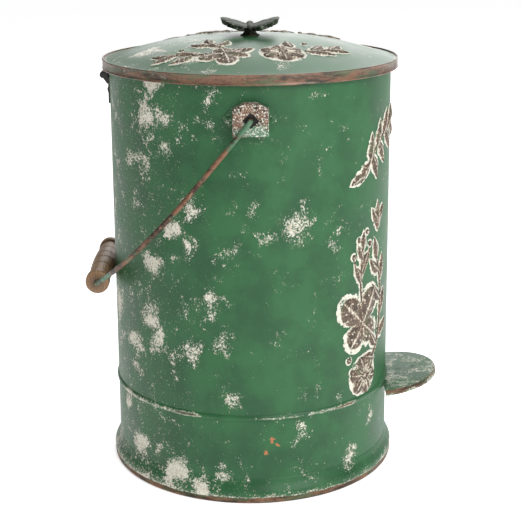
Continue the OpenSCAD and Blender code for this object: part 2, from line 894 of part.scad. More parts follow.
module half_bail() {
    turn_x = arm_x - arch_r * (1 - cos(arch_turn));
    turn_z = -arch_r * sin(arch_turn);
    bend_x = turn_x - arch_straight * sin(arch_turn);
    bend_z = turn_z - arch_straight * cos(arch_turn);
    bend_centre_x = bend_x - grip_bend * cos(arch_turn);
    bend_centre_z = bend_z + grip_bend * sin(arch_turn);
    // Pin with its upset head, and the bend into the arm
    pin_x = ear_x - recess_t - ear_web_t - wire_head_t - body_gap;
    down_wire(0, 0, bail_fall) {
        x_rod(wire_head_r, wire_head_t, pin_x + wire_head_t / 2);
        x_rod(wire_r, ear_x - pin_x, (ear_x + pin_x) / 2);
        translate([ear_x, 0, -hook_bend]) rotate([90, 0, 0]) rotate_extrude(angle = 90)
            translate([hook_bend, 0]) circle(r = wire_r);
        translate([arm_x, 0, -knee]) cylinder(r = wire_r, h = knee - hook_bend);
        wire_sleeve(arm_x, -knee, 0);
    }
    // Arch in to the grip
    down_wire(knee_y, knee_drop, arch_fall) {
        translate([arm_x - arch_r, 0, 0]) rotate([-90, 0, 0]) rotate_extrude(angle = arch_turn)
            translate([arch_r, 0]) circle(r = wire_r);
        translate([turn_x, 0, turn_z]) rotate([0, 180 + arch_turn, 0]) cylinder(r = wire_r, h = arch_straight);
        wire_sleeve(turn_x, turn_z, arch_turn);
        wire_sleeve(bend_x, bend_z, arch_turn);
        wire_sleeve(bend_centre_x, bend_centre_z - grip_bend, 90);
        translate([bend_centre_x, 0, bend_centre_z]) rotate([-90, 0, 0]) rotate([0, 0, arch_turn])
            rotate_extrude(angle = 90 - arch_turn) translate([grip_bend, 0]) circle(r = wire_r);
        translate([0, 0, bend_centre_z - grip_bend]) x_rod(wire_r, bend_centre_x, bend_centre_x / 2);
    }
}

module bail_wire() {
    color([0.55, 0.42, 0.3]) {
        half_bail();
        mirror([1, 0, 0]) half_bail();
    }
}

// Outline of half of the turned grip, from its middle to its end: a gently swollen barrel,
// a groove and a collar with a rounded edge
collar = 9;
groove = 2.5;
waist_r = 0.82 * grip_r;
barrel = grip_l / 2 - collar - groove;
barrel_steps = 8;
function barrel_r(z) = waist_r + (grip_r - waist_r) * (1 - (z / barrel) * (z / barrel));
grip_edge = concat(
    [for (i = [0:barrel_steps]) [barrel_r(i * barrel / barrel_steps), i * barrel / barrel_steps]],
    [
        [waist_r - 0.9, barrel + 0.2 * groove],
        [waist_r - 1.3, barrel + 0.5 * groove],
        [waist_r - 0.9, barrel + 0.8 * groove],
        [grip_r - 0.5, barrel + groove],
        [grip_r, barrel + groove + 0.6],
        [grip_r, grip_l / 2 - 1.2],
        [grip_r - 0.4, grip_l / 2 - 0.4],
        [grip_r - 1.2, grip_l / 2],
        [wire_r + running, grip_l / 2],
    ]
);
grip_points = len(grip_edge);

module wooden_grip() {
    color([0.72, 0.5, 0.3]) translate([0, grip_y, bail_z - grip_drop]) rotate([0, 90, 0])
        rotate_extrude() polygon(concat(
            grip_edge,
            [for (i = [grip_points - 1:-1:1]) [grip_edge[i][0], -grip_edge[i][1]]]
        ));
}

body_shell();
foot_ring();
floor_plate();
pivot_bracket();
pivot_bracket_rivets();
lever_pivot_pin();
rod_guide();
inner_pail();
left_ear_backing();
right_ear_backing();
left_bail_ear();
right_bail_ear();
ear_rivets();
hinge_body_leaf();
hinge_body_rivets();
hinge_pin();
lid_shell();
hinge_lid_leaf();
hinge_lid_rivets();
lid_lug();
butterfly_knob();
knob_post();
knob_washer();
knob_screw();
pedal_lever();
pedal_plate();
pedal_rivets();
lift_rod();
rod_clips();
bail_wire();
wooden_grip();
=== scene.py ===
"""A pedal trash can in distressed green paint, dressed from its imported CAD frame.

Each button makes one piece or one group of like pieces: the can, its foot, the lid, the
butterfly knob, the ears, the bail, the grip, the pedal, the raised garlands, the finish of
the hardware, and the stage. Sizes in the code are millimetres until a mesh is made.
"""

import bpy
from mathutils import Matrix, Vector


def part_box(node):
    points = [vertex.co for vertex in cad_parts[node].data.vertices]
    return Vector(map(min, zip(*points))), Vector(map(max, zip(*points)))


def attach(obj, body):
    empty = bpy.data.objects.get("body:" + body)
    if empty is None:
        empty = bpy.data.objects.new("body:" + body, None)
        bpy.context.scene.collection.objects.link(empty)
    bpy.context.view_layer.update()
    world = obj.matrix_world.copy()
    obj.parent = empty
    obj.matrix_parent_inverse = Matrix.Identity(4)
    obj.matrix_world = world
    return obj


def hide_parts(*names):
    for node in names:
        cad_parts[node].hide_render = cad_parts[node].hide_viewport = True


bl_info = {
    "name": "Pedal trash can",
    "version": (1, 0, 0),
    "blender": (4, 5, 0),
    "location": "3D View > Sidebar > Pedal Can",
    "description": "Dresses the pedal trash can's frame with its paint, garlands and fittings",
    "category": "Object",
}

import math

import bmesh
import bpy
from bpy.props import FloatProperty, FloatVectorProperty, IntProperty, PointerProperty
from mathutils import Matrix, Vector

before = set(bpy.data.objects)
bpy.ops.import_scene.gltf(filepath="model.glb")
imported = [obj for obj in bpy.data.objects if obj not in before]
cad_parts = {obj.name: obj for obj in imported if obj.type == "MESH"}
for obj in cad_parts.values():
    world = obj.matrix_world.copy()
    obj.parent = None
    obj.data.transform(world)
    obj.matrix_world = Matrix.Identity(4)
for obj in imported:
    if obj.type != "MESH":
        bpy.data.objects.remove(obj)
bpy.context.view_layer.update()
MM = 0.001


def box_mm(node):
    """Lowest and highest corner of a CAD node, in millimetres."""
    lo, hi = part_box(node)
    return [v / MM for v in lo], [v / MM for v in hi]


# Places taken from the frame
CAN_TOP = box_mm("body_shell")[1][2]
FOOT_TOP = box_mm("foot_ring")[1][2]
FOOT_R = box_mm("foot_ring")[1][0]
LID_LOW = box_mm("lid_shell")[0][2]
LID_TOP = box_mm("lid_shell")[1][2]
FLOOR_Z = box_mm("floor_plate")[1][2]
KNOB_LOW = box_mm("butterfly_knob")[0][2]
POST_HI = box_mm("knob_post")[1]
GRIP_LO, GRIP_HI = box_mm("wooden_grip")
GRIP_Y, GRIP_Z = (GRIP_LO[1] + GRIP_HI[1]) / 2, (GRIP_LO[2] + GRIP_HI[2]) / 2
EAR_LO, EAR_HI = box_mm("right_bail_ear")

# Height that the bail turns at, and the slope that it hangs at, in degrees
BAIL_Z = 347.5
BAIL_FALL = 50.3

# Shape of the lid's dome, as in the frame
CAN_R = 130.0
LID_R = 136.0
DOME_R = LID_R - 1.8
DOME_Z0 = CAN_TOP + 1.7
DOME_H = LID_TOP - DOME_Z0


def dome_at(r):
    """Height of the lid's upper surface at a distance from the can's axis."""
    return DOME_Z0 + DOME_H * max(0.0, 1 - (r / DOME_R) ** 2.6) ** 1.22


# ---------- sizes and colours that a user would change ----------


class CanSizes(bpy.types.PropertyGroup):
    """Sizes of the can's own detail."""

    rounds: IntProperty(
        name="Steps round the can", description="Flats that each large round is made of", default=180, min=60,
        max=360,
    )
    bead_out: FloatProperty(
        name="Bead", description="How far the bead stands out from the can", default=1.5 * MM, unit="LENGTH"
    )
    relief: FloatProperty(
        name="Relief", description="Height of the raised garlands", default=2.3 * MM, unit="LENGTH"
    )
    veins: FloatProperty(
        name="Veins", description="Depth of the veins in leaves and wings", default=0.5 * MM, unit="LENGTH"
    )


class CanColours(bpy.types.PropertyGroup):
    """Paint and metal colours."""

    green: FloatVectorProperty(
        name="Green", description="The can's paint", default=(0.021, 0.108, 0.036), subtype="COLOR", min=0,
        max=1,
    )
    deep_green: FloatVectorProperty(
        name="Deep green", description="Paint where it is older and darker", default=(0.010, 0.070, 0.022),
        subtype="COLOR", min=0, max=1,
    )
    chalk: FloatVectorProperty(
        name="Chalk", description="Undercoat that shows where the paint is chipped",
        default=(0.66, 0.65, 0.56), subtype="COLOR", min=0, max=1,
    )
    copper: FloatVectorProperty(
        name="Copper", description="Metal rubbed bare at the edges", default=(0.20, 0.100, 0.058),
        subtype="COLOR", min=0, max=1,
    )
    umber: FloatVectorProperty(
        name="Umber", description="Dark stain along the rubbed edges", default=(0.032, 0.022, 0.014),
        subtype="COLOR", min=0, max=1,
    )
    bronze: FloatVectorProperty(
        name="Bronze", description="The garlands' brown", default=(0.095, 0.062, 0.040), subtype="COLOR",
        min=0, max=1,
    )
    rust: FloatVectorProperty(
        name="Rust", description="Spots of rust", default=(0.40, 0.150, 0.062), subtype="COLOR", min=0, max=1
    )
    wood: FloatVectorProperty(
        name="Wood", description="The grip's wood", default=(0.300, 0.180, 0.092), subtype="COLOR", min=0,
        max=1,
    )


def sizes():
    return bpy.context.scene.can_sizes


def colour(name):
    return (*getattr(bpy.context.scene.can_colours, name), 1.0)


# Shades between the main colours
LIT_GREEN = (0.033, 0.130, 0.050, 1)
DUSTY_GREEN = (0.085, 0.20, 0.11, 1)
CHIP_EDGE = (0.030, 0.070, 0.030, 1)
STAINED_CREAM = (0.40, 0.31, 0.20, 1)
BRIGHT_COPPER = (0.30, 0.205, 0.130, 1)
MOSS = (0.055, 0.105, 0.048, 1)


# ---------- making meshes ----------


def arc(x, z, r, start, end, count):
    """Points along an arc of a section, angles in degrees."""
    out = []
    for i in range(count + 1):
        a = math.radians(start + (end - start) * i / count)
        out.append((x + r * math.cos(a), z + r * math.sin(a)))
    return out


def spun(section, steps, closed=True):
    """Spins a section of (distance, height) points round Z into a shell."""
    bm = bmesh.new()
    verts = [bm.verts.new((r * MM, 0, z * MM)) for r, z in section]
    edges = [bm.edges.new(pair) for pair in zip(verts, verts[1:])]
    if closed:
        edges.append(bm.edges.new((verts[-1], verts[0])))
    bmesh.ops.spin(
        bm, geom=verts + edges, cent=(0, 0, 0), axis=(0, 0, 1),
        angle=2 * math.pi, steps=steps, use_merge=True,
    )
    bmesh.ops.remove_doubles(bm, verts=bm.verts, dist=1e-6)
    bmesh.ops.recalc_face_normals(bm, faces=bm.faces)
    return bm


def mark_wear(bm, wear):
    """Stores how far each point is rubbed bare, from 0 to 1, given its place in millimetres."""
    layer = bm.verts.layers.float.get("wear") or bm.verts.layers.float.new("wear")
    for v in bm.verts:
        x, y, z = (c / MM for c in v.co)
        v[layer] = wear(x, y, z)


def piece(name, bm, material, body="root", stands_for=(), sharp=32):
    """Turns a finished bmesh into a named piece that rides on a body."""
    mesh = bpy.data.meshes.new(name)
    bm.to_mesh(mesh)
    bm.free()
    mesh.shade_smooth()
    mesh.set_sharp_from_angle(angle=math.radians(sharp))
    obj = bpy.data.objects.new(name, mesh)
    bpy.context.scene.collection.objects.link(obj)
    mesh.materials.append(material)
    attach(obj, body)
    if stands_for:
        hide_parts(*stands_for)
    return obj


def joined(target, source):
    """Adds one bmesh to another and frees the second."""
    mesh = bpy.data.meshes.new("joining")
    source.to_mesh(mesh)
    target.from_mesh(mesh)
    source.free()
    bpy.data.meshes.remove(mesh)


def swept(points, radius, sides=16):
    """A round wire along points, closed at its ends."""
    curve = bpy.data.curves.new("wire", "CURVE")
    curve.dimensions = "3D"
    curve.bevel_depth = radius * MM
    curve.bevel_resolution = sides // 4
    curve.use_fill_caps = True
    line = curve.splines.new("POLY")
    line.points.add(len(points) - 1)
    for point, place in zip(line.points, points):
        point.co = (*(c * MM for c in place), 1)
    holder = bpy.data.objects.new("wire", curve)
    bpy.context.scene.collection.objects.link(holder)
    mesh = bpy.data.meshes.new_from_object(holder.evaluated_get(bpy.context.evaluated_depsgraph_get()))
    bm = bmesh.new()
    bm.from_mesh(mesh)
    bpy.data.objects.remove(holder)
    bpy.data.curves.remove(curve)
    bpy.data.meshes.remove(mesh)
    bmesh.ops.remove_doubles(bm, verts=bm.verts, dist=1e-6)
    bmesh.ops.recalc_face_normals(bm, faces=bm.faces)
    return bm


# ---------- making materials ----------


class Finish:
    """A node material with short calls for the nodes that the finishes need."""

    def __init__(self, name, metallic=0.0, coat=0.0, specular=0.5):
        self.material = bpy.data.materials.new(name)
        self.material.use_nodes = True
        self.nodes = self.material.node_tree.nodes
        self.links = self.material.node_tree.links
        self.nodes.clear()
        out = self.nodes.new("ShaderNodeOutputMaterial")
        self.shader = self.nodes.new("ShaderNodeBsdfPrincipled")
        self.links.new(self.shader.outputs[0], out.inputs[0])
        self.shader.inputs["Metallic"].default_value = metallic
        self.shader.inputs["Coat Weight"].default_value = coat
        self.shader.inputs["Coat Roughness"].default_value = 0.3
        self.shader.inputs["Specular IOR Level"].default_value = specular
        self.place = self.nodes.new("ShaderNodeTexCoord").outputs["Object"]

    def add(self, kind, inputs, **settings):
        node = self.nodes.new("ShaderNode" + kind)
        for key, value in settings.items():
            setattr(node, key, value)
        for key, value in inputs.items():
            if isinstance(value, bpy.types.NodeSocket):
                self.links.new(value, node.inputs[key])
            else:
                node.inputs[key].default_value = value
        return node

    def noise(self, scale, detail=2.0, roughness=0.5, place=None):
        inputs = {"Vector": place or self.place, "Scale": scale, "Detail": detail, "Roughness": roughness}
        return self.add("TexNoise", inputs).outputs[0]

    def maths(self, operation, a, b=0.0, clamp=False):
        return self.add("Math", {0: a, 1: b}, operation=operation, use_clamp=clamp).outputs[0]

    def step(self, value, low, high, bottom=0.0, top=1.0):
        """Rises smoothly from bottom to top as the value goes from low to high."""
        inputs = {0: value, 1: low, 2: high, 3: bottom, 4: top}
        return self.add("MapRange", inputs, interpolation_type="SMOOTHSTEP").outputs[0]

    def mix(self, factor, a, b):
        return self.add("Mix", {0: factor, 6: a, 7: b}, data_type="RGBA").outputs[2]

    def stretched(self, scale, turn=(0, 0, 0)):
        return self.add("Mapping", {"Vector": self.place, "Rotation": turn, "Scale": scale}).outputs[0]

    def shaken(self, scale, amount):
        """The place, pushed about by noise so that patches get ragged edges."""
        noise = self.add("TexNoise", {"Vector": self.place, "Scale": scale, "Detail": 3.0}).outputs[1]
        centred = self.add("VectorMath", {0: noise, 1: (0.5, 0.5, 0.5)}, operation="SUBTRACT").outputs[0]
        pushed = self.add("VectorMath", {0: centred, "Scale": amount}, operation="SCALE").outputs[0]
        return self.add("VectorMath", {0: self.place, 1: pushed}, operation="ADD").outputs[0]

    def patches(self, spots, place):
        """How strongly a point lies in the nearest of some patches of (x, y, z, radius, strength)."""
        total = None
        for x, y, z, radius, strength in spots:
            middle = (x * MM, y * MM, z * MM)
            away = self.add("VectorMath", {0: place, 1: middle}, operation="DISTANCE").outputs["Value"]
            level = self.step(away, 0.9 * radius * MM, 0.1 * radius * MM, 0.0, strength)
            total = level if total is None else self.maths("MAXIMUM", total, level)
        return total

    def attribute(self, name):
        return self.add("Attribute", {}, attribute_name=name).outputs["Fac"]

    def bump(self, height, distance, strength=1.0):
        node = self.add("Bump", {"Height": height, "Distance": distance, "Strength": strength})
        self.links.new(node.outputs[0], self.shader.inputs["Normal"])

    def set(self, **sockets):
        for key, value in sockets.items():
            socket = self.shader.inputs[key.replace("_", " ")]
            if isinstance(value, bpy.types.NodeSocket):
                self.links.new(value, socket)
            else:
                socket.default_value = value


def flecked_paint(name, spots=(), rust_spots=(), left_wear=True, base_wear=0.0, coat=0.05):
    """Old green paint over a chalky undercoat, chipped in clusters and rubbed to copper by "wear"."""
    f = Finish(name, coat=coat, specular=0.34)
    far = f.noise(9, 3.0, 0.6)
    cloud = f.noise(34, 4.0, 0.6)
    cluster = f.noise(62, 4.0, 0.66, f.shaken(25, 0.02))
    fleck = f.noise(520, 5.0, 0.78, f.shaken(300, 0.003))
    dust = f.noise(1250, 3.0, 0.65)
    # Base green in soft clouds
    paint = f.mix(f.step(cloud, 0.34, 0.66), colour("deep_green"), colour("green"))
    paint = f.mix(f.step(far, 0.45, 0.72, 0.0, 0.30), paint, LIT_GREEN)
    paint = f.mix(f.step(dust, 0.58, 0.74, 0.0, 0.22), paint, DUSTY_GREEN)
    # How readily the paint chips here
    ready = f.step(cluster, 0.48, 0.72, 0.0, 0.15)
    if left_wear:
        side = f.add("SeparateXYZ", {0: f.place}).outputs[1]
        ready = f.maths("ADD", ready, f.step(side, 0.0, 0.095, 0.0, 0.078))
    if spots:
        patch = f.patches(spots, f.shaken(60, 0.030))
        ready = f.maths("ADD", ready, f.maths("MULTIPLY", patch, 0.215))
    if base_wear:
        ready = f.maths("ADD", ready, base_wear)
    ready = f.maths("ADD", ready, f.step(f.attribute("wear"), 0.14, 0.40, 0.0, 0.10))
    level = f.maths("ADD", fleck, ready)
    halo = f.step(level, 0.655, 0.70)
    chip = f.step(level, 0.70, 0.728)
    tiny = f.step(f.maths("ADD", dust, f.maths("MULTIPLY", ready, 0.85)), 0.745, 0.785)
    chip = f.maths("MAXIMUM", chip, f.maths("MULTIPLY", tiny, 0.9))
    paint = f.mix(f.maths("MULTIPLY", halo, 0.5), paint, CHIP_EDGE)
    stain = f.mix(f.step(f.noise(760, 3.0), 0.45, 0.68, 0.0, 0.8), colour("chalk"), STAINED_CREAM)
    paint = f.mix(chip, paint, stain)
    # Edges rubbed down to copper, with dark stain and a pale line where the paint breaks
    wear = f.attribute("wear")
    rub = f.maths("ADD", wear, f.maths("MULTIPLY", f.maths("SUBTRACT", f.noise(48, 5.0, 0.72), 0.5), 0.9))
    bare = f.step(rub, 0.46, 0.58)
    broken = f.maths("MULTIPLY", f.step(rub, 0.33, 0.42), f.step(rub, 0.56, 0.47))
    banded = f.stretched((1, 1, 5))
    metal = f.mix(f.step(f.noise(42, 5.0, 0.7, banded), 0.36, 0.60), colour("umber"), colour("copper"))
    metal = f.mix(f.step(f.noise(75, 5.0, 0.75, banded), 0.54, 0.68, 0.0, 0.42), metal, BRIGHT_COPPER)
    metal = f.mix(f.step(f.noise(520, 3.0, 0.7), 0.50, 0.64, 0.0, 0.35), metal, colour("umber"))
    metal = f.mix(f.step(f.noise(30, 4.0, 0.65, banded), 0.50, 0.60, 0.0, 0.65), metal, MOSS)
    paint = f.mix(f.maths("MULTIPLY", broken, f.step(fleck, 0.44, 0.58, 0.05, 0.9)), paint, stain)
    paint = f.mix(bare, paint, metal)
    if rust_spots:
        rusty = f.patches(rust_spots, f.shaken(260, 0.009))
        rusty = f.maths("MULTIPLY", rusty, f.maths("MULTIPLY", fleck, 2.0))
        paint = f.mix(f.step(rusty, 0.35, 0.75), paint, colour("rust"))
    f.set(Base_Color=paint)
    rough = f.step(cloud, 0.3, 0.7, 0.40, 0.54)
    rough = f.maths("ADD", rough, f.maths("MULTIPLY", chip, 0.30), clamp=True)
    f.set(Roughness=rough, Metallic=f.maths("MULTIPLY", bare, 0.35))
    height = f.maths("SUBTRACT", f.maths("MULTIPLY", f.noise(300, 3.0), 0.35), f.maths("MULTIPLY", chip, 0.6))
    pitted = f.maths("MULTIPLY", f.noise(620, 4.0, 0.7), f.maths("MULTIPLY", bare, 0.4))
    height = f.maths("ADD", height, pitted)
    f.bump(height, 0.0003, 0.5)
    return f.material


def rubbed_copper(name, green_share=0.40, cream=0.5):
    """Paint rubbed almost away: copper and dark stain, with green and cream left in places."""
    f = Finish(name)
    metal = f.mix(f.step(f.noise(85, 4.0, 0.65), 0.38, 0.60), colour("umber"), colour("copper"))
    metal = f.mix(f.step(f.noise(210, 4.0, 0.7), 0.54, 0.68, 0.0, 0.6), metal, (0.38, 0.235, 0.160, 1))
    green = f.step(f.noise(26, 4.0, 0.65), 0.66 - 0.3 * green_share, 0.72 - 0.3 * green_share)
    metal = f.mix(green, metal, f.mix(f.noise(60), colour("deep_green"), (0.10, 0.20, 0.12, 1)))
    speck = f.maths("ADD", f.noise(560, 5.0, 0.78), f.maths("MULTIPLY", f.attribute("chalky"), 0.16))
    pale = f.step(speck, 0.74 - 0.10 * cream, 0.78 - 0.10 * cream)
    metal = f.mix(pale, metal, colour("chalk"))
    # Painted shade: near-black on the floor of an ear's sunk diamond
    metal = f.mix(f.attribute("recess_shade"), metal, (0.012, 0.011, 0.009, 1))
    f.set(Base_Color=metal)
    f.set(Metallic=f.maths("MULTIPLY", f.maths("SUBTRACT", 1.0, f.maths("MAXIMUM", green, pale)), 0.4))
    f.set(Roughness=f.step(f.noise(180, 3.0), 0.35, 0.65, 0.34, 0.60))
    f.bump(f.noise(520, 5.0, 0.75), 0.0003, 0.5)
    return f.material


def garland_finish(name):
    """Raised work: brown bronze with green left in the hollows, cream on the edges and ridges."""
    f = Finish(name)
    base = f.mix(f.step(f.noise(120, 5.0, 0.65), 0.36, 0.62), colour("umber"), colour("bronze"))
    base = f.mix(f.step(f.noise(70, 4.0, 0.6), 0.52, 0.64, 0.0, 0.6), base, (0.065, 0.105, 0.050, 1))
    ridge = f.attribute("ridge")
    speck = f.noise(560, 5.0, 0.78)
    level = f.maths("ADD", f.maths("MULTIPLY", ridge, 0.26), speck)
    tan = f.step(level, 0.58, 0.66, 0.0, 0.45)
    cream = f.step(level, 0.685, 0.74, 0.0, 0.95)
    base = f.mix(tan, base, (0.30, 0.205, 0.13, 1))
    base = f.mix(cream, base, (0.70, 0.65, 0.54, 1))
    f.set(Base_Color=base, Roughness=f.step(speck, 0.4, 0.6, 0.40, 0.66), Metallic=0.1)
    f.bump(f.noise(420, 4.0, 0.7), 0.0004, 0.7)
    return f.material


def chalky_ground(name):
    """Undercoat showing round the raised work, breaking up into green at its edge."""
    f = Finish(name)
    fleck = f.noise(430, 5.0, 0.78)
    left = f.maths("ADD", f.maths("MULTIPLY", f.attribute("ridge"), 0.15), f.noise(170, 5.0, 0.7))
    green = f.maths("MAXIMUM", f.step(left, 0.60, 0.64), f.step(fleck, 0.60, 0.66, 0.0, 0.8))
    base = f.mix(f.step(f.noise(300, 4.0, 0.7), 0.50, 0.66, 0.0, 0.7), colour("chalk"), (0.36, 0.27, 0.17, 1))
    base = f.mix(green, base, f.mix(f.noise(60), colour("deep_green"), colour("green")))
    f.set(Base_Color=base, Roughness=f.step(green, 0.0, 1.0, 0.72, 0.46))
    f.bump(f.maths("ADD", fleck, green), 0.0003, 0.5)
    return f.material


def patina(name):
    """Cast metal, green-black in the hollows, with a pale painted highlight on its ridges, edges and upper
    side.
    """
    f = Finish(name, specular=0.3)
    base = f.mix(
        f.step(f.noise(150, 4.0, 0.6), 0.38, 0.62), (0.010, 0.015, 0.009, 1), (0.036, 0.052, 0.030, 1)
    )
    ridge = f.attribute("ridge")
    level = f.maths("ADD", f.maths("MULTIPLY", ridge, 0.16), f.noise(430, 5.0, 0.75))
    # Painted highlight: pale grey-green on the ridges, edges and the body's upper side
    base = f.mix(f.step(level, 0.66, 0.76, 0.0, 0.9), base, (0.38, 0.42, 0.34, 1))
    base = f.mix(f.step(f.noise(95, 3.0), 0.58, 0.70, 0.0, 0.6), base, (0.11, 0.085, 0.05, 1))
    f.set(Base_Color=base, Roughness=f.step(level, 0.5, 0.75, 0.46, 0.66))
    f.bump(f.noise(480, 4.0, 0.7), 0.0004, 0.8)
    return f.material


def zinc(name):
    """Zinc-plated steel with a spangle and faint drawing lines."""
    f = Finish(name, metallic=1.0)
    spangle = f.add("TexVoronoi", {"Vector": f.place, "Scale": 240.0}).outputs["Distance"]
    streak = f.noise(60, 3.0, 0.6, f.stretched((1, 1, 14)))
    base = f.mix(f.step(spangle, 0.2, 0.6), (0.42, 0.43, 0.42, 1), (0.58, 0.58, 0.56, 1))
    base = f.mix(f.step(f.noise(40, 5.0), 0.58, 0.74, 0.0, 0.6), base, (0.22, 0.20, 0.17, 1))
    f.set(Base_Color=base, Roughness=f.step(streak, 0.3, 0.7, 0.30, 0.48))
    f.bump(f.maths("ADD", streak, f.maths("MULTIPLY", spangle, 0.3)), 0.0001, 0.4)
    return f.material


def black_steel(name):
    """Black painted steel, rubbed grey at random."""
    f = Finish(name)
    worn = f.step(f.noise(380, 5.0, 0.75), 0.60, 0.68)
    base = f.mix(f.noise(90, 3.0), (0.010, 0.010, 0.009, 1), (0.022, 0.022, 0.020, 1))
    base = f.mix(worn, base, (0.17, 0.15, 0.12, 1))
    f.set(Base_Color=base, Metallic=f.maths("MULTIPLY", worn, 0.7))
    f.set(Roughness=f.step(f.noise(200, 3.0), 0.3, 0.7, 0.36, 0.55))
    f.bump(f.noise(600, 4.0, 0.7), 0.0003, 0.5)
    return f.material


def pail_plastic(name):
    """Moulded black plastic with a fine grain and scuffs."""
    f = Finish(name)
    scuff = f.step(f.noise(85, 6.0, 0.8, f.stretched((1, 1, 0.25))), 0.58, 0.75)
    base = f.mix(f.maths("MULTIPLY", scuff, 0.5), (0.014, 0.014, 0.014, 1), (0.05, 0.05, 0.048, 1))
    f.set(Base_Color=base, Roughness=f.step(scuff, 0.0, 1.0, 0.40, 0.60))
    f.bump(f.noise(1500, 3.0, 0.6), 0.00015, 0.5)
    return f.material


def grip_wood(name):
    """Oiled turned wood with its grain along the grip."""
    f = Finish(name, coat=0.05, specular=0.35)
    centre = (0, -GRIP_Y * MM, -GRIP_Z * MM)
    along = f.add("Mapping", {"Vector": f.place, "Location": centre}, vector_type="POINT").outputs[0]
    bent = f.add("Mapping", {"Vector": along, "Scale": (0.06, 1, 1), "Rotation": (0, 0.06, 0.04)}).outputs[0]
    wave = {"Vector": bent, "Scale": 130.0, "Distortion": 5.0, "Detail": 3.0, "Detail Scale": 2.0}
    rings = f.add("TexWave", wave, bands_direction="Y").outputs["Fac"]
    fine = f.noise(900, 4.0, 0.7, bent)
    pore = f.step(f.noise(2200, 2.0, 0.5, bent), 0.60, 0.72)
    base = f.mix(f.step(rings, 0.15, 0.85), colour("wood"), (0.190, 0.105, 0.052, 1))
    base = f.mix(f.step(fine, 0.40, 0.66, 0.0, 0.45), base, (0.46, 0.29, 0.16, 1))
    base = f.mix(f.maths("MULTIPLY", pore, 0.55), base, (0.085, 0.045, 0.022, 1))
    # Darker in the grooves, beside the collars, round the bore and towards the ends
    darker_in_grooves_and_ends = f.attribute("darker_in_grooves_and_ends")
    base = f.mix(f.maths("MULTIPLY", darker_in_grooves_and_ends, 0.75), base, (0.045, 0.028, 0.016, 1))
    f.set(Base_Color=base, Roughness=f.step(fine, 0.3, 0.7, 0.36, 0.52))
    f.bump(f.maths("ADD", fine, f.maths("MULTIPLY", pore, -0.6)), 0.0002, 0.5)
    return f.material


# Clusters of chips on the can, as (x, y, z, radius, strength) in millimetres
CHIPPED = [
    (-94, 90, 343, 20, 0.9), (-107, 74, 347, 16, 0.8), (-120, 50, 266, 20, 1.0), (-125, 36, 187, 20, 0.9),
    (-125, -38, 252, 30, 1.0), (-129, -12, 244, 16, 0.9), (-129, 17, 230, 15, 0.8), (-108, -72, 234, 16, 0.9),
    (-119, 53, 235, 13, 0.8), (-96, 88, 213, 20, 0.9), (-94, 90, 163, 22, 0.8), (-99, 84, 140, 16, 0.9),
    (-120, 52, 138, 20, 0.9), (-127, 26, 148, 17, 0.8), (-129, 18, 94, 17, 0.9), (-110, 69, 24, 22, 1.0),
    (-128, 26, 26, 16, 0.9), (-123, 43, 12, 18, 1.0), (-96, -88, 27, 18, 0.9), (-78, 104, 34, 20, 1.0),
    (-61, 115, 70, 18, 0.9), (-122, -45, 60, 19, 0.8), (-70, -109, 52, 18, 0.8), (-128, -20, 148, 12, 0.6),
    (-110, 69, 247, 17, 0.9), (-74, 107, 133, 20, 0.9), (-126, 33, 340, 16, 0.7), (-102, -81, 332, 12, 0.6),
    (-130, -1, 268, 15, 0.8), (-98, 85, 372, 17, 0.9), (-126, 34, 366, 15, 0.8), (-107, 73, 317, 13, 0.8),
    (-92, 92, 301, 17, 0.8), (97, 86, 300, 24, 0.9), (124, 38, 180, 26, 0.9), (60, 115, 250, 26, 0.9),
    (-40, 124, 160, 26, 0.9), (115, -60, 110, 22, 0.8), (20, 128, 40, 24, 0.9), (0, -130, 300, 20, 0.8),
]
# Those low enough to show on the foot
FOOT_CHIPS = CHIPPED[15:23]
# Spots of rust, in the same way
RUSTED = [
    (-129, -17, 59, 5, 1.0), (-128, -22, 54, 4, 1.0), (-130, -12, 47, 4.5, 1.0),
    (126, 30, 52, 5, 1.0), (60, -115, 50, 4, 1.0),
]


class MakeCan(bpy.types.Operator):
    """Make the can's wall, with its rolled rim, its bead and the pedal's slot"""

    bl_idname = "pedal_can.can"
    bl_label = "Can"

    def execute(self, context):
        slot_lo, slot_hi = 39.6, 70.7
        floor_t, bead_half = 1.2, 3.0
        bead_z = FLOOR_Z - floor_t / 2
        bead = sizes().bead_out / MM
        bead_r = (bead_half ** 2 + bead ** 2) / (2 * bead)
        sweep = math.degrees(math.asin(bead_half / bead_r))
        outer = [(CAN_R, z) for z in (6, 14, FOOT_TOP, 30, slot_lo, slot_hi, 73.5)]
        outer += [(x, z) for x, z in arc(CAN_R + bead - bead_r, bead_z, bead_r, -sweep, sweep, 10)]
        outer += [(CAN_R, z) for z in (85.5, 110, 160, 220, 280, 330, 366)]
        rim = arc(CAN_R + 1.1, CAN_TOP - 2.1, 2.1, -121, 180, 16)
        inner = [(CAN_R - 1, z) for z in (330, 220, 110, slot_hi, slot_lo, 6)]
        bm = spun(outer + rim + inner, sizes().rounds)
        cut = []
        for face in bm.faces:
            c = face.calc_center_median() / MM
            if c.y < -120 and abs(c.x) < 4.6 and slot_lo < c.z < slot_hi:
                cut.append(face)
        bmesh.ops.delete(bm, geom=cut, context="FACES")
        open_edges = [e for e in bm.edges if len(e.link_faces) == 1]
        bmesh.ops.bridge_loops(bm, edges=open_edges)
        bmesh.ops.recalc_face_normals(bm, faces=bm.faces)

        def wear(x, y, z):
            r, a = math.hypot(x, y), math.atan2(y, x)
            stretch = 0.40 + 0.13 * math.cos(5 * a + 0.6) + 0.09 * math.cos(11 * a + 2)
            low = max(0.0, 1 - abs(z - bead_z) / 4.2) * stretch if r > CAN_R + 0.2 else 0.0
            return max(low, 0.85 if z > CAN_TOP - 2.6 else 0.0, 0.35 if z < 12 else 0.0)

        mark_wear(bm, wear)
        paint = flecked_paint("can_paint", CHIPPED, RUSTED)
        piece("can_wall", bm, paint, stands_for=["body_shell"])
        return {"FINISHED"}


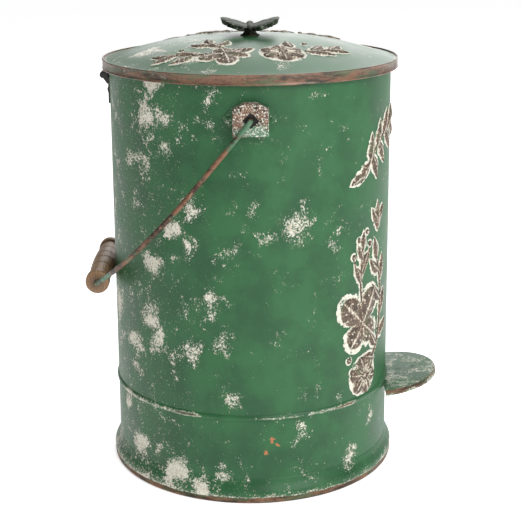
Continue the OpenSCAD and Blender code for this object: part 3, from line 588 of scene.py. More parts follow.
class MakeFoot(bpy.types.Operator):
    """Make the flared foot that the can stands on, with its rolled edge"""

    bl_idname = "pedal_can.foot"
    bl_label = "Foot"

    def execute(self, context):
        hem = 2.6
        flare = ((0, 0), (0.25, 0.4), (0.8, 2.6), (1.2, 4), (1.8, 5.5), (2.8, 7.4))
        outer = [(CAN_R + out, FOOT_TOP - down) for out, down in flare]
        outer += [(FOOT_R - 0.9, FOOT_TOP / 2 + 0.9), (FOOT_R, FOOT_TOP / 2 - 1.2), (FOOT_R - 0.3, 6.4)]
        roll = arc(FOOT_R - hem, hem, hem, 15, -255, 18)
        inner = [(FOOT_R - 1.1, 7), (FOOT_R - 1, FOOT_TOP / 2 - 0.6), (CAN_R, FOOT_TOP - 4.6)]
        bm = spun(outer + roll + inner, sizes().rounds)

        def wear(x, y, z):
            return 1.0 if z < 5.4 else 0.36 if z < 9 else 0.24 if z < 13 else 0.1

        mark_wear(bm, wear)
        paint = flecked_paint("foot_paint", FOOT_CHIPS, base_wear=0.03)
        piece("can_foot", bm, paint, stands_for=["foot_ring"])
        return {"FINISHED"}


class MakeLid(bpy.types.Operator):
    """Make the lid's domed cover, with its skirt and both rolled hems"""

    bl_idname = "pedal_can.lid"
    bl_label = "Lid"

    def execute(self, context):
        count = 40
        radii = [DOME_R * math.sin(math.radians(90 * i / count)) for i in range(count + 1)]
        sheet = 1.2
        skirt_in = LID_R - sheet
        dome = [(r, dome_at(r)) for r in radii]
        skirt_top = DOME_Z0 + 1.3
        over = [(skirt_in, DOME_Z0)] + arc(skirt_in + 0.8, skirt_top - 0.8, 0.8, 160, -45, 9)
        side = [
            (LID_R, skirt_top - 2.0), (LID_R, skirt_top - 4), (LID_R, LID_LOW + 4), (LID_R, LID_LOW + 1.9)
        ]
        under = arc(skirt_in + 0.8, LID_LOW + 0.8, 0.8, 45, -165, 9)
        inside = [(skirt_in, LID_LOW + 4), (skirt_in, DOME_Z0 - sheet)]
        inside += [(r, dome_at(r) - sheet) for r in reversed(radii)]
        bm = spun(dome + over + side + under + inside, sizes().rounds, closed=False)

        def wear(x, y, z):
            r = math.hypot(x, y)
            if r > skirt_in - 0.2:
                return 0.95 if z > skirt_top - 1.9 or z < LID_LOW + 1.9 else 0.66
            return max(0.0, (r - 131) / 4) * 0.7 + (0.3 if r < 12 else 0)

        mark_wear(bm, wear)
        spots = [
            (-84, 52, 392, 22, 0.8), (-40, 96, 392, 22, 0.9), (-110, -30, 388, 15, 0.7),
            (-118, 36, 388, 15, 0.8), (20, -104, 392, 22, 0.8), (92, 66, 390, 22, 0.8),
            (60, -60, 398, 15, 0.6), (-20, 50, 402, 18, 0.5),
        ]
        paint = flecked_paint("lid_paint", spots, coat=0.5)
        piece("lid_cover", bm, paint, "lid", stands_for=["lid_shell"], sharp=40)
        return {"FINISHED"}


def house(outset, depth):
    """Points of an ear's house-shaped outline at a depth from the can's axis."""
    half = 15 + outset
    low, shoulder, peak = EAR_LO[2] - outset, 357 + outset, EAR_HI[2] + outset
    outline = [
        (-half, low), (half, low), (half, shoulder), (half / 3, peak), (-half / 3, peak), (-half, shoulder)
    ]
    return [(depth, y, z) for y, z in outline]


class MakeEars(bpy.types.Operator):
    """Make both of the bail's ears, with their sunk diamonds round the wire"""

    bl_idname = "pedal_can.ears"
    bl_label = "Ears"

    def execute(self, context):
        face_x = EAR_HI[0]
        finish = rubbed_copper("ear_copper", 0.5, 1.5)
        for side, name, node in ((1, "right_ear", "right_bail_ear"), (-1, "left_ear", "left_bail_ear")):
            bm = bmesh.new()
            rim = [bm.verts.new([c * MM for c in p]) for p in house(0, face_x)]
            diamond = ((-7, 0), (0, -7), (7, 0), (0, 7))
            sunk = [bm.verts.new((face_x * MM, y * MM, (BAIL_Z + z) * MM)) for y, z in diamond]
            loops = (rim, sunk)
            edges = [bm.edges.new((loop[i - 1], loop[i])) for loop in loops for i in range(len(loop))]
            bmesh.ops.triangle_fill(bm, edges=edges, use_beauty=True)
            outline = [e for e in edges if e.verts[0] in rim]
            back = bmesh.ops.extrude_edge_only(bm, edges=outline)["geom"]
            for v in [g for g in back if isinstance(g, bmesh.types.BMVert)]:
                v.co.x = math.sqrt((131.52 * MM) ** 2 - v.co.y ** 2)
            well = bmesh.ops.extrude_edge_only(bm, edges=[e for e in edges if e.verts[0] in sunk])["geom"]
            well = [g for g in well if isinstance(g, bmesh.types.BMVert)]
            bmesh.ops.translate(bm, verts=well, vec=(-2 * MM, 0, 0))
            open_edges = [e for e in bm.edges if len(e.link_faces) == 1]
            floor_edges = [e for e in open_edges if all(v.co.x > (face_x - 2.1) * MM for v in e.verts)]
            bmesh.ops.contextual_create(bm, geom=floor_edges)
            bmesh.ops.contextual_create(bm, geom=[e for e in open_edges if e not in floor_edges])
            bmesh.ops.recalc_face_normals(bm, faces=bm.faces)
            sharp = [e for e in bm.edges if len(e.link_faces) == 2 and e.calc_face_angle() > 0.5]
            # Marks the floor of the sunk diamond for the near-black painted shade
            recess_shade = bm.verts.layers.float.new("recess_shade")
            chalky = bm.verts.layers.float.new("chalky")
            for v in bm.verts:
                v[recess_shade] = 1.0 if abs(v.co.x / MM - face_x + 2) < 0.1 else 0.0
                v[chalky] = 0.4
            bmesh.ops.bevel(
                bm, geom=sharp, offset=0.55 * MM, affect="EDGES", segments=3, profile=0.5, material=-1
            )
            if side < 0:
                bmesh.ops.scale(bm, vec=(-1, 1, 1), verts=bm.verts)
                bmesh.ops.reverse_faces(bm, faces=bm.faces)
            piece(name, bm, finish, stands_for=[node])
        return {"FINISHED"}


class MakeBail(bpy.types.Operator):
    """Make the wire bail, bent from one wire, with the heads inside the ears"""

    bl_idname = "pedal_can.bail"
    bl_label = "Bail"

    def execute(self, context):
        arm_x, wire_r, head_x, head_r, head_t = EAR_HI[0] + 5, 2.2, 134.0, 4.0, 1.5
        fall = math.radians(BAIL_FALL)
        knee = 90.0
        knee_y, knee_z = knee * math.cos(fall), BAIL_Z - knee * math.sin(fall)
        turn, bend = math.radians(50), 8.0
        length = math.hypot(GRIP_Y - knee_y, knee_z - GRIP_Z)
        down = ((GRIP_Y - knee_y) / length, (GRIP_Z - knee_z) / length)
        end_x = (GRIP_HI[0] - GRIP_LO[0]) / 2 + 1.5
        across = arm_x - end_x - bend * math.cos(turn)
        along = length - bend * (1 - math.sin(turn))
        arch_r = (along * math.sin(turn) - across * math.cos(turn)) / (1 - math.cos(turn))
        straight = (along - arch_r * math.sin(turn)) / math.cos(turn)

        def upper(x, s):
            return (x, s * math.cos(fall), BAIL_Z - s * math.sin(fall))

        def lower(x, s):
            return (x, knee_y + s * down[0], knee_z + s * down[1])

        half = [upper(head_x, 0)]
        for i in range(9):
            t = math.radians(90 * i / 8)
            half.append(upper(EAR_HI[0] + 5 * math.sin(t), 5 - 5 * math.cos(t)))
        half += [upper(arm_x, s) for s in (20, 45, 70)]
        for i in range(21):
            t = turn * i / 20
            half.append(lower(arm_x - arch_r * (1 - math.cos(t)), arch_r * math.sin(t)))
        bend_x = arm_x - arch_r * (1 - math.cos(turn)) - straight * math.sin(turn)
        bend_s = arch_r * math.sin(turn) + straight * math.cos(turn)
        for i in range(9):
            t = turn + (math.pi / 2 - turn) * i / 8
            x = bend_x - bend * math.cos(turn) + bend * math.cos(t)
            half.append(lower(x, bend_s - bend * math.sin(turn) + bend * math.sin(t)))
        path = half + [(-x, y, z) for x, y, z in reversed(half)]
        bm = swept(path, wire_r, 20)
        for side in (-1, 1):
            place = Matrix.Translation((side * (head_x + head_t / 2) * MM, 0, BAIL_Z * MM))
            place = place @ Matrix.Rotation(math.pi / 2, 4, "Y")
            bmesh.ops.create_cone(
                bm, cap_ends=True, segments=32, radius1=head_r * MM, radius2=head_r * MM,
                depth=head_t * MM, matrix=place,
            )
        bmesh.ops.recalc_face_normals(bm, faces=bm.faces)
        finish = rubbed_copper("bail_copper", 0.62, 0.1)
        piece("bail", bm, finish, "bail", stands_for=["bail_wire"], sharp=50)
        return {"FINISHED"}


class MakeGrip(bpy.types.Operator):
    """Turn the wooden grip: a swelling barrel, a groove and a collar at each end"""

    bl_idname = "pedal_can.grip"
    bl_label = "Grip"

    def execute(self, context):
        half = (GRIP_HI[0] - GRIP_LO[0]) / 2
        full = (GRIP_HI[2] - GRIP_LO[2]) / 2
        barrel, bore_r = half - 11.5, 2.55
        waist, grooves = 0.82 * full, (8, 27)
        edge = []
        for i in range(65):
            z = barrel * i / 64
            groove = max(math.exp(-(((z - g) / 0.9) ** 2)) for g in grooves)
            edge.append((waist + (full - waist) * (1 - (z / barrel) ** 2) - 0.6 * groove, z))
        for cut, out in ((0.5, 0.25), (1.0, 0.7), (1.3, 1.25), (1.0, 1.8), (0.4, 2.2)):
            edge.append((waist - cut, barrel + out))
        for cut, out in ((0.6, 2.5), (0.2, 2.9), (0, 3.6), (0, 7)):
            edge.append((full - cut, barrel + out))
        edge += [(full - 0.15, half - 1.3), (full - 0.6, half - 0.5), (full - 1.4, half), (bore_r, half)]
        section = edge + [(r, -z) for r, z in reversed(edge[1:])]
        bm = spun(section, 64)
        place = Matrix.Translation((0, GRIP_Y * MM, GRIP_Z * MM))
        # How much darker the wood is: in the grooves, beside the collars, round the bore and towards the ends
        layer = bm.verts.layers.float.new("darker_in_grooves_and_ends")
        for v in bm.verts:
            s = abs(v.co.z / MM)
            r = math.hypot(v.co.x, v.co.y) / MM
            if barrel < s < barrel + 2.4 or r < 4.5:
                v[layer] = 1.0
            elif min(abs(s - g) for g in grooves) < 0.9:
                v[layer] = 0.75
            else:
                v[layer] = 0.25 if s > barrel - 4 else 0.0
        bmesh.ops.transform(bm, matrix=place @ Matrix.Rotation(math.pi / 2, 4, "Y"), verts=bm.verts)
        wood = grip_wood("turned_wood")
        piece("grip", bm, wood, "grip", stands_for=["wooden_grip"], sharp=40)
        return {"FINISHED"}


class MakePedal(bpy.types.Operator):
    """Press the pedal's D-shaped tread, with its turned-down lip"""

    bl_idname = "pedal_can.pedal"
    bl_label = "Pedal tread"

    def execute(self, context):
        width, reach, lip, sheet, tilt = 101.0, 47.0, 5.5, 1.5, math.radians(8.8)
        back_y, top_z = 132.5, 73.5
        round_r = width / 2
        centre = reach - round_r
        start = math.asin(-centre / round_r)
        bm = bmesh.new()
        rim = []
        for i in range(73):
            a = -start + (math.pi + 2 * start) * i / 72
            x, y = round_r * math.cos(a), -(centre + round_r * math.sin(a))
            rim.append(bm.verts.new((x * MM, y * MM, 0)))
        bm.faces.new(rim)
        bmesh.ops.inset_region(bm, faces=bm.faces, thickness=1.3 * MM, depth=0.0)
        bmesh.ops.inset_region(bm, faces=[max(bm.faces, key=lambda f: f.calc_area())], thickness=4 * MM)
        outline = [e for e in bm.edges if len(e.link_faces) == 1]
        curved = [e for e in outline if any(abs(v.co.y - rim[0].co.y) >= 1e-5 for v in e.verts)]
        down = bmesh.ops.extrude_edge_only(bm, edges=curved)["geom"]
        down = [g for g in down if isinstance(g, bmesh.types.BMVert)]
        bmesh.ops.translate(bm, verts=down, vec=(0, 0, -lip * MM))
        bmesh.ops.recalc_face_normals(bm, faces=bm.faces)
        top = max(bm.faces, key=lambda f: f.calc_area())
        if top.normal.z < 0:
            bmesh.ops.reverse_faces(bm, faces=bm.faces)
        brink = [e for e in bm.edges if len(e.link_faces) == 2 and e.calc_face_angle() > 1.2]
        bmesh.ops.bevel(bm, geom=brink, offset=1.2 * MM, affect="EDGES", segments=4, profile=0.5, material=-1)
        bmesh.ops.solidify(bm, geom=bm.faces, thickness=sheet * MM)

        def wear(x, y, z):
            away = round_r - math.hypot(x, -y - centre)
            return 0.46 if z < -lip + 0.3 else 0.60 if away < 0.6 else max(0.0, 0.40 - away * 0.06)

        mark_wear(bm, wear)
        place = Matrix.Translation((0, -back_y * MM, top_z * MM)) @ Matrix.Rotation(-tilt, 4, "X")
        bmesh.ops.transform(bm, matrix=place, verts=bm.verts)
        spots = [
            (-30, -148, 76, 9, 0.45), (12, -168, 79, 9, 0.55),
            (35, -148, 76, 10, 0.45), (-12, -172, 80, 8, 0.5),
        ]
        paint = flecked_paint("pedal_paint", spots, left_wear=False)
        piece("pedal_tread", bm, paint, "pedal", stands_for=["pedal_plate"], sharp=40)
        return {"FINISHED"}


# ---------- raised work ----------

# Height of the chalky ground that raised work stands on
BASE = 0.25


def blade(
    length, width, turn, place, curl=0.0, tip=1.0, lift=1.0, veins=5, round_end=False, rows=14, cols=8,
    plain=False,
):
    """A leaf, petal or wing drawn flat: its mesh lies in (u, v) with its height in w.

    It starts at place and grows along turn, in degrees. Its tip is pointed, or round for a petal.
    """
    bm = bmesh.new()
    bmesh.ops.create_grid(bm, x_segments=rows, y_segments=cols, size=0.5)
    ridge = bm.verts.layers.float.new("ridge")
    depth = sizes().veins / MM
    a0 = math.radians(turn)
    for v in bm.verts:
        t, s = v.co.x + 0.5, v.co.y * 2
        if round_end:
            half = width / 2 * math.sin(math.pi * min(1.0, t ** 1.35 * 0.93 + 0.03)) ** 0.62
        else:
            half = width / 2 * math.sin(math.pi * t ** (0.75 * tip)) ** 0.9 if 0 < t < 1 else 0.0
        half = max(half, 0.12)
        rise = math.cos(s * math.pi / 2) ** 0.55 if abs(s) < 1 else 0.0
        vein = 0.5 + 0.5 * math.cos((t * veins * 2 - abs(s) * 1.6) * math.pi)
        mid = math.exp(-((s / 0.16) ** 2))
        height = lift * rise * (0.55 + 0.45 * math.sin(math.pi * t)) - depth * vein * rise * 0.5
        height = height + depth * mid * 0.6 + BASE
        if plain:
            height = lift * rise ** 0.3
        edge = max(0.0, 1 - (1 - abs(s)) / 0.24)
        v[ridge] = edge if plain else min(1.0, max(edge * 0.9, mid, vein * 0.55))
        bow = curl * math.sin(math.pi * t)
        along, side = t * length, s * half + bow
        v.co.x = place[0] + along * math.cos(a0) - side * math.sin(a0)
        v.co.y = place[1] + along * math.sin(a0) + side * math.cos(a0)
        v.co.z = max(height, 0.12)
    return bm


def eased(before, a, b, after, t):
    """A point of the smooth curve from a to b, a share t of the way."""
    square = 2 * before - 5 * a + 4 * b - after
    cube = 3 * a - before - 3 * b + after
    return 0.5 * (2 * a + (b - before) * t + square * t * t + cube * t ** 3)


def stem(points, width, lift=0.75, pale=0.9):
    """A tapering raised stem through flat points."""
    bm = bmesh.new()
    ridge = bm.verts.layers.float.new("ridge")
    rows = []
    fine = []
    for i in range(len(points) - 1):
        before = points[max(i - 1, 0)]
        a, b = points[i], points[i + 1]
        after = points[min(i + 2, len(points) - 1)]
        for k in range(6):
            fine.append(tuple(eased(before[j], a[j], b[j], after[j], k / 6) for j in (0, 1)))
    fine.append(points[-1])
    for i, (u, w) in enumerate(fine):
        p, q = fine[max(i - 1, 0)], fine[min(i + 1, len(fine) - 1)]
        d = Vector((q[0] - p[0], q[1] - p[1])).normalized()
        half = width / 2 * (1 - 0.55 * i / len(fine))
        row = []
        for s, h in ((-1, 0.1), (-0.6, 0.72), (0, 1), (0.6, 0.72), (1, 0.1)):
            up = h * lift + (BASE if lift > 0.4 else 0)
            v = bm.verts.new((u - d.y * s * half, w + d.x * s * half, up))
            v[ridge] = pale if h == 1 else 0.4 * pale
            row.append(v)
        rows.append([bm.edges.new(pair) for pair in zip(row, row[1:])])
    for a, b in zip(rows, rows[1:]):
        bmesh.ops.bridge_loops(bm, edges=a + b)
    return bm


def boss(place, radius, height, pale=1.0):
    """A low round boss, for the middle of a flower or a berry."""
    bm = bmesh.new()
    bmesh.ops.create_uvsphere(bm, u_segments=16, v_segments=8, radius=radius)
    ball = bm.verts[:] + bm.edges[:] + bm.faces[:]
    bmesh.ops.bisect_plane(bm, geom=ball, plane_co=(0, 0, 0), plane_no=(0, 0, -1), clear_outer=True)
    bmesh.ops.scale(bm, vec=(1, 1, height / radius), verts=bm.verts)
    bmesh.ops.translate(bm, vec=(place[0], place[1], 0.1 if height > 0.4 else 0.0), verts=bm.verts)
    ridge = bm.verts.layers.float.new("ridge")
    for v in bm.verts:
        v[ridge] = pale * (0.15 + 0.6 * (v.co.z / height) ** 2)
    return bm


def flower(place, radius, petals=6, start=0.0, lift=1.0):
    """An open flower of broad ribbed petals round a boss ringed with rays."""
    bm = boss(place, radius * 0.19, lift * 1.1)
    for i in range(petals):
        a = start + 360 * i / petals
        x = place[0] + 0.25 * radius * math.cos(math.radians(a))
        y = place[1] + 0.25 * radius * math.sin(math.radians(a))
        width = radius * 1.5 * math.sin(math.pi / petals) * 1.06
        petal = blade(radius * 0.76, width, a, (x, y), lift=lift * 0.85, veins=1, round_end=True, cols=10)
        joined(bm, petal)
    for i in range(petals * 2):
        a = math.radians(start + 180 * i / petals)
        inner, outer = radius * 0.24, radius * (0.58 if i % 2 else 0.46)
        reaches = (inner, (inner + outer) / 2, outer)
        ray = [(place[0] + r * math.cos(a), place[1] + r * math.sin(a)) for r in reaches]
        joined(bm, stem(ray, radius * 0.095, lift * 1.05, 2.2))
    return bm


def moth(place, span, turn, lift=1.0):
    """A small resting butterfly drawn flat, its head along turn."""
    bm = boss(place, span * 0.045, lift)
    body = math.radians(turn)
    nose = (place[0] + span * 0.16 * math.cos(body), place[1] + span * 0.16 * math.sin(body))
    tail = (place[0] - span * 0.20 * math.cos(body), place[1] - span * 0.20 * math.sin(body))
    joined(bm, stem([tail, place, nose], span * 0.09, lift))
    for side in (-1, 1):
        for spread, size, wide in ((40, 0.52, 0.40), (136, 0.38, 0.36)):
            wing = blade(
                span * size, span * wide, turn + side * spread, place,
                lift=lift * 0.8, veins=3, round_end=True, rows=20, cols=12,
            )
            joined(bm, wing)
            for dot in (-2, -1, 0, 1, 2):
                a = math.radians(turn + side * spread + dot * 13)
                out = span * size * (0.80 - 0.045 * dot * dot)
                spot = (place[0] + out * math.cos(a), place[1] + out * math.sin(a))
                joined(bm, boss(spot, span * 0.016, lift * 0.95, 2.4))
    return bm


def ground_for(maker, values):
    """The chalky ground that shows round one piece of raised work."""
    if maker is flower:
        return boss(values[0], values[1] * 1.13, 0.3)
    if maker is boss:
        return boss(values[0], values[1] + 1.7, 0.3)
    if maker is stem:
        return stem(values[0], values[1] + 3.8, 0.3)
    if maker is moth:
        place, span, turn = values[:3]
        ground = bmesh.new()
        for side in (-1, 1):
            for spread, size, wide in ((40, 0.60, 0.50), (136, 0.46, 0.46)):
                a = turn + side * spread
                wing = blade(span * size, span * wide, a, place, lift=0.3, round_end=True, plain=True)
                joined(ground, wing)
        return ground
    length, width, turn, place = values[:4]
    a = math.radians(turn)
    back = (place[0] - 2.5 * math.cos(a), place[1] - 2.5 * math.sin(a))
    return blade(length + 4.8, width + 5.4, turn, back, *values[4:], lift=0.3, plain=True)


def raised(parts, onto, mirror, flat):
    """The raised work of one side and the ground below it, from (maker, values, named values)."""
    out = []
    for grounds in (False, True):
        side = bmesh.new()
        for maker, values, named in parts:
            joined(side, ground_for(maker, values) if grounds else maker(*values, **named))
        side, skirt = laid(side, onto)
        sink(skirt, flat, 0.3)
        if mirror:
            bmesh.ops.reverse_faces(side, faces=side.faces)
        out.append(side)
    return out


def laid(bm, onto):
    """Places flat raised work on a surface and gives it a base below, so that it is closed."""
    bmesh.ops.recalc_face_normals(bm, faces=bm.faces)
    down = [f for f in bm.faces if f.normal.z < 0]
    bmesh.ops.reverse_faces(bm, faces=down)
    for v in bm.verts:
        v.co = Vector(onto(v.co.x, v.co.y, v.co.z)) * MM
    open_edges = [e for e in bm.edges if len(e.link_faces) == 1]
    skirt = bmesh.ops.extrude_edge_only(bm, edges=open_edges)["geom"]
    return bm, [g for g in skirt if isinstance(g, bmesh.types.BMVert)]


def sink(verts, axis_only, depth):
    """Sinks the skirt of raised work a little into the surface below it."""
    for v in verts:
        if axis_only:
            v.co.z -= depth * MM
        else:
            r = math.hypot(v.co.x, v.co.y)
            v.co.x *= (r - depth * MM) / r
            v.co.y *= (r - depth * MM) / r


class MakeGarlands(bpy.types.Operator):
    """Raise the garlands of flowers, leaves and butterflies on the can and on the lid"""

    bl_idname = "pedal_can.garlands"
    bl_label = "Garlands"

    def execute(self, context):
        lift = sizes().relief / MM
        high, mid, low = {"lift": lift}, {"lift": lift * 0.85}, {"lift": lift * 0.6}
        on_side = [
            (flower, ((88, 101), 18.5, 6, 12), high),
            (moth, ((92, 152), 66, 84), high),
            (stem, ([(92, 172), (94, 190), (93, 208), (91, 226)], 3.2), low),
            (stem, ([(94, 190), (101, 202), (103, 212)], 2.4), low),
            (stem, ([(94, 196), (85, 208), (81, 220)], 2.4), low),
            (blade, (17, 8, 62, (95, 192), 1.2), mid), (blade, (17, 8, 118, (93, 202), -1.2), mid),
            (blade, (15, 7.5, 66, (93, 212), 1.0), mid), (blade, (15, 7.5, 92, (91, 222)), mid),
            (boss, ((104, 216), 2.6, lift * 0.9), {}), (boss, ((80, 224), 2.6, lift * 0.9), {}),
            (boss, ((97, 230), 2.3, lift * 0.9), {}), (boss, ((85, 236), 2.3, lift * 0.9), {}),
            (boss, ((109, 120), 2.6, lift * 0.9), {}), (boss, ((105, 108), 2.4, lift * 0.9), {}),
            (stem, ([(76, 112), (64, 128), (58, 156), (60, 186), (66, 206)], 3.2), low),
            (blade, (25, 11, 116, (60, 152), 2.0), mid), (blade, (25, 11, 48, (58, 166), -2.0), mid),
            (blade, (25, 11, 104, (60, 184), 1.5), mid), (blade, (23, 10, 40, (62, 194), -1.5), mid),
            (blade, (22, 10, 74, (66, 206)), mid),
            (blade, (22, 10, 52, (66, 124), -1.5), mid), (blade, (22, 10, 150, (62, 132), 1.5), mid),
            (blade, (20, 9, 20, (70, 112), 1.0), mid), (blade, (18, 8, 330, (72, 104), 1.0), mid),
            (blade, (26, 11, 90, (66, 234)), mid), (blade, (20, 9, 50, (64, 240), -1.0), mid),
            (blade, (20, 9, 130, (68, 240), 1.0), mid),
            (stem, ([(88, 292), (76, 306), (60, 318), (40, 326), (18, 330)], 3.2), low),
            (blade, (20, 10, 308, (84, 298), 1.0), mid), (blade, (18, 9, 340, (92, 288), 1.0), mid),
            (blade, (24, 11, 98, (82, 300), 1.5), mid), (blade, (22, 10.5, 250, (78, 304), -1.5), mid),
            (blade, (24, 11, 108, (70, 311), 1.5), mid), (blade, (22, 10.5, 240, (66, 314), -1.5), mid),
            (blade, (24, 11, 118, (56, 320), 1.5), mid), (blade, (22, 10.5, 232, (50, 322), -1.5), mid),
            (blade, (22, 10, 128, (40, 326), 1.5), mid), (blade, (20, 10, 226, (34, 328), -1.5), mid),
            (blade, (20, 9, 172, (20, 330)), mid), (boss, ((12, 334), 2.6, lift * 0.9), {}),
        ]
        on_lid = [
            (flower, ((-80, -28), 19, 6, 10), high),
            (moth, ((-84, 22), 44, 150), high),
            (blade, (26, 12, 62, (-92, 2), -2.0), mid), (blade, (24, 12, 105, (-72, -2), 2.0), mid),
            (stem, ([(-82, 36), (-80, 52), (-72, 72)], 3.0), low),
            (blade, (24, 11, 60, (-84, 44), -1.5), mid), (blade, (22, 10.5, 125, (-82, 50), 1.5), mid),
            (blade, (22, 10, 74, (-76, 64), 1.0), mid), (blade, (20, 9.5, 128, (-74, 68), 1.0), mid),
            (stem, ([(-66, 24), (-54, 34), (-42, 36)], 2.6), low),
            (blade, (22, 11, 30, (-64, 26), 1.5), mid), (blade, (21, 10, -24, (-60, 28), -1.5), mid),
            (blade, (19, 9.5, 74, (-56, 34), 1.0), mid), (blade, (16, 8.5, 10, (-46, 36)), mid),
            (stem, ([(-72, -48), (-64, -62), (-50, -74)], 2.8), low),
            (blade, (24, 11, -88, (-72, -50), 1.5), mid), (blade, (24, 11, -22, (-68, -54), -1.5), mid),
            (blade, (22, 10.5, -74, (-60, -66), 1.2), mid), (blade, (21, 10, -28, (-54, -70), -1.2), mid),
            (blade, (20, 10, 14, (-62, -36), 1.0), mid),
            (boss, ((-46, -48), 2.4, lift * 0.8), {}), (boss, ((-62, 60), 2.4, lift * 0.8), {}),
            (boss, ((-98, 26), 2.2, lift * 0.8), {}),
        ]
        finish, chalky = garland_finish("garland_bronze"), chalky_ground("garland_ground")

        def can_place(way):
            def place(u, v, h):
                a = -math.pi / 2 - way * u / CAN_R
                return ((CAN_R + h) * math.cos(a), (CAN_R + h) * math.sin(a), v)
            return place

        def lid_place(way):
            return lambda u, v, h: (way * u, v, dome_at(min(math.hypot(u, v), 130.0)) + h)

        for name, body, parts, placer, flat in (
            ("can_garland", "root", on_side, can_place, False),
            ("lid_garland", "lid", on_lid, lid_place, True),
        ):
            work, ground = bmesh.new(), bmesh.new()
            for way in (1, -1):
                turned = way < 0 if flat else way > 0
                upper, lower = raised(parts, placer(way), turned, flat)
                joined(work, upper)
                joined(ground, lower)
            piece(name, work, finish, body, sharp=70)
            piece(name + "_ground", ground, chalky, body, sharp=70)
        return {"FINISHED"}


class MakeKnob(bpy.types.Operator):
    """Cast the butterfly knob on its post"""

    bl_idname = "pedal_can.knob"
    bl_label = "Butterfly knob"

    def execute(self, context):
        low = KNOB_LOW
        wing_z, wing_t, wing_tilt = low + 2.9, 4.8, math.radians(15)
        finish = patina("cast_patina")
        bm = bmesh.new()
        bm.verts.layers.float.new("ridge")
        for side in (1, -1):
            wings = bmesh.new()
            wings.verts.layers.float.new("ridge")
            joined(wings, blade(30.5, 29, 63, (2, -1.5), lift=2.0, veins=3, round_end=True, rows=26, cols=18))
            joined(
                wings, blade(26.0, 22, 124, (-2, -1.5), lift=2.0, veins=3, round_end=True, rows=24, cols=16)
            )
            bmesh.ops.recalc_face_normals(wings, faces=wings.faces)
            bmesh.ops.reverse_faces(wings, faces=[f for f in wings.faces if f.normal.z < 0])
            bmesh.ops.scale(wings, vec=(MM, MM, MM), verts=wings.verts)
            bmesh.ops.solidify(wings, geom=wings.faces, thickness=wing_t * MM)
            bmesh.ops.rotate(
                wings, cent=(0, 0, 0), matrix=Matrix.Rotation(wing_tilt, 3, "X"), verts=wings.verts
            )
            bmesh.ops.translate(wings, vec=(0, 1 * MM, wing_z * MM), verts=wings.verts)
            if side < 0:
                bmesh.ops.scale(wings, vec=(1, -1, 1), verts=wings.verts)
            bmesh.ops.recalc_face_normals(wings, faces=wings.faces)
            joined(bm, wings)
        body = bmesh.new()
        profile = [
            (0.05, -20.2), (1.5, -19.6), (2.6, -17), (3.1, -12), (2.4, -7), (3.3, -3), (3.4, 3),
            (2.5, 9), (3.2, 12), (3.9, 16), (3.7, 19), (2.2, 20.8), (0.05, 21),
        ]
        verts = [body.verts.new((r * MM, 0, z * MM)) for r, z in profile]
        edges = [body.edges.new(pair) for pair in zip(verts, verts[1:])]
        bmesh.ops.spin(
            body, geom=verts + edges, cent=(0, 0, 0), axis=(0, 0, 1),
            angle=2 * math.pi, steps=24, use_merge=True,
        )
        bmesh.ops.remove_doubles(body, verts=body.verts, dist=1e-6)
        bmesh.ops.holes_fill(body, edges=body.edges, sides=0)
        bmesh.ops.subdivide_edges(body, edges=body.edges, cuts=1, smooth=0.6)
        place = Matrix.Translation((0, 0, (low + 3.25) * MM)) @ Matrix.Rotation(math.pi / 2, 4, "Y")
        bmesh.ops.transform(body, matrix=place, verts=body.verts)
        # Marks the body's upper side for the pale painted highlight
        ridge = body.verts.layers.float.new("ridge")
        for v in body.verts:
            v[ridge] = max(0.0, (v.co.z / MM - low - 4.4) / 2.4)
        bmesh.ops.recalc_face_normals(body, faces=body.faces)
        joined(bm, body)
        hub = bmesh.new()
        place = Matrix.Translation((0, 0, (low + 1.95) * MM))
        bmesh.ops.create_cone(
            hub, cap_ends=True, segments=32, radius1=5 * MM, radius2=14 * MM, depth=3.8 * MM, matrix=place
        )
        hub.verts.layers.float.new("ridge")
        joined(bm, hub)
        piece("knob_butterfly", bm, finish, "lid", stands_for=["butterfly_knob"], sharp=60)
        foot_r, bore_r, crown = POST_HI[0], 2.05, LID_TOP
        section = [(bore_r, dome_at(2) + 0.02), (foot_r, dome_at(foot_r) + 0.02), (foot_r, crown + 0.3)]
        section += [(foot_r - 0.6, crown + 0.9), (7.4, crown + 1.4), (6.2, crown + 2.2), (5.6, crown + 3.4)]
        section += [(5.7, crown + 4.4), (6.0, POST_HI[2] - 0.3), (5.8, POST_HI[2]), (bore_r, POST_HI[2])]
        bm = spun(section, 48)
        # Marks the post's outer rim for the pale painted highlight
        ridge = bm.verts.layers.float.new("ridge")
        for v in bm.verts:
            v[ridge] = 0.5 if math.hypot(v.co.x, v.co.y) > (foot_r - 0.8) * MM else 0.1
        piece("knob_stem", bm, finish, "lid", stands_for=["knob_post"], sharp=35)
        return {"FINISHED"}


class FinishHardware(bpy.types.Operator):
    """Finish the hidden and plain hardware: steel, black hinge, plastic and painted backings"""

    bl_idname = "pedal_can.hardware"
    bl_label = "Hardware"

    def execute(self, context):
        zinced = zinc("zinc_plate")
        black = black_steel("black_hinge_steel")
        plastic = pail_plastic("black_pail_plastic")
        painted = flecked_paint("fitting_paint", (), base_wear=0.08)
        finishes = {
            zinced: (
                "floor_plate", "pivot_bracket", "pivot_bracket_rivets", "lever_pivot_pin", "pedal_lever",
                "lift_rod", "rod_clips", "lid_lug", "knob_washer", "knob_screw",
            ),
            black: (
                "hinge_body_leaf", "hinge_body_rivets", "hinge_pin", "hinge_lid_leaf", "hinge_lid_rivets",
            ),
            plastic: ("inner_pail", "rod_guide"),
            painted: ("left_ear_backing", "right_ear_backing", "ear_rivets", "pedal_rivets"),
        }
        for finish, nodes in finishes.items():
            for node in nodes:
                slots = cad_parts[node].data.materials
                slots.clear()
                slots.append(finish)
        return {"FINISHED"}


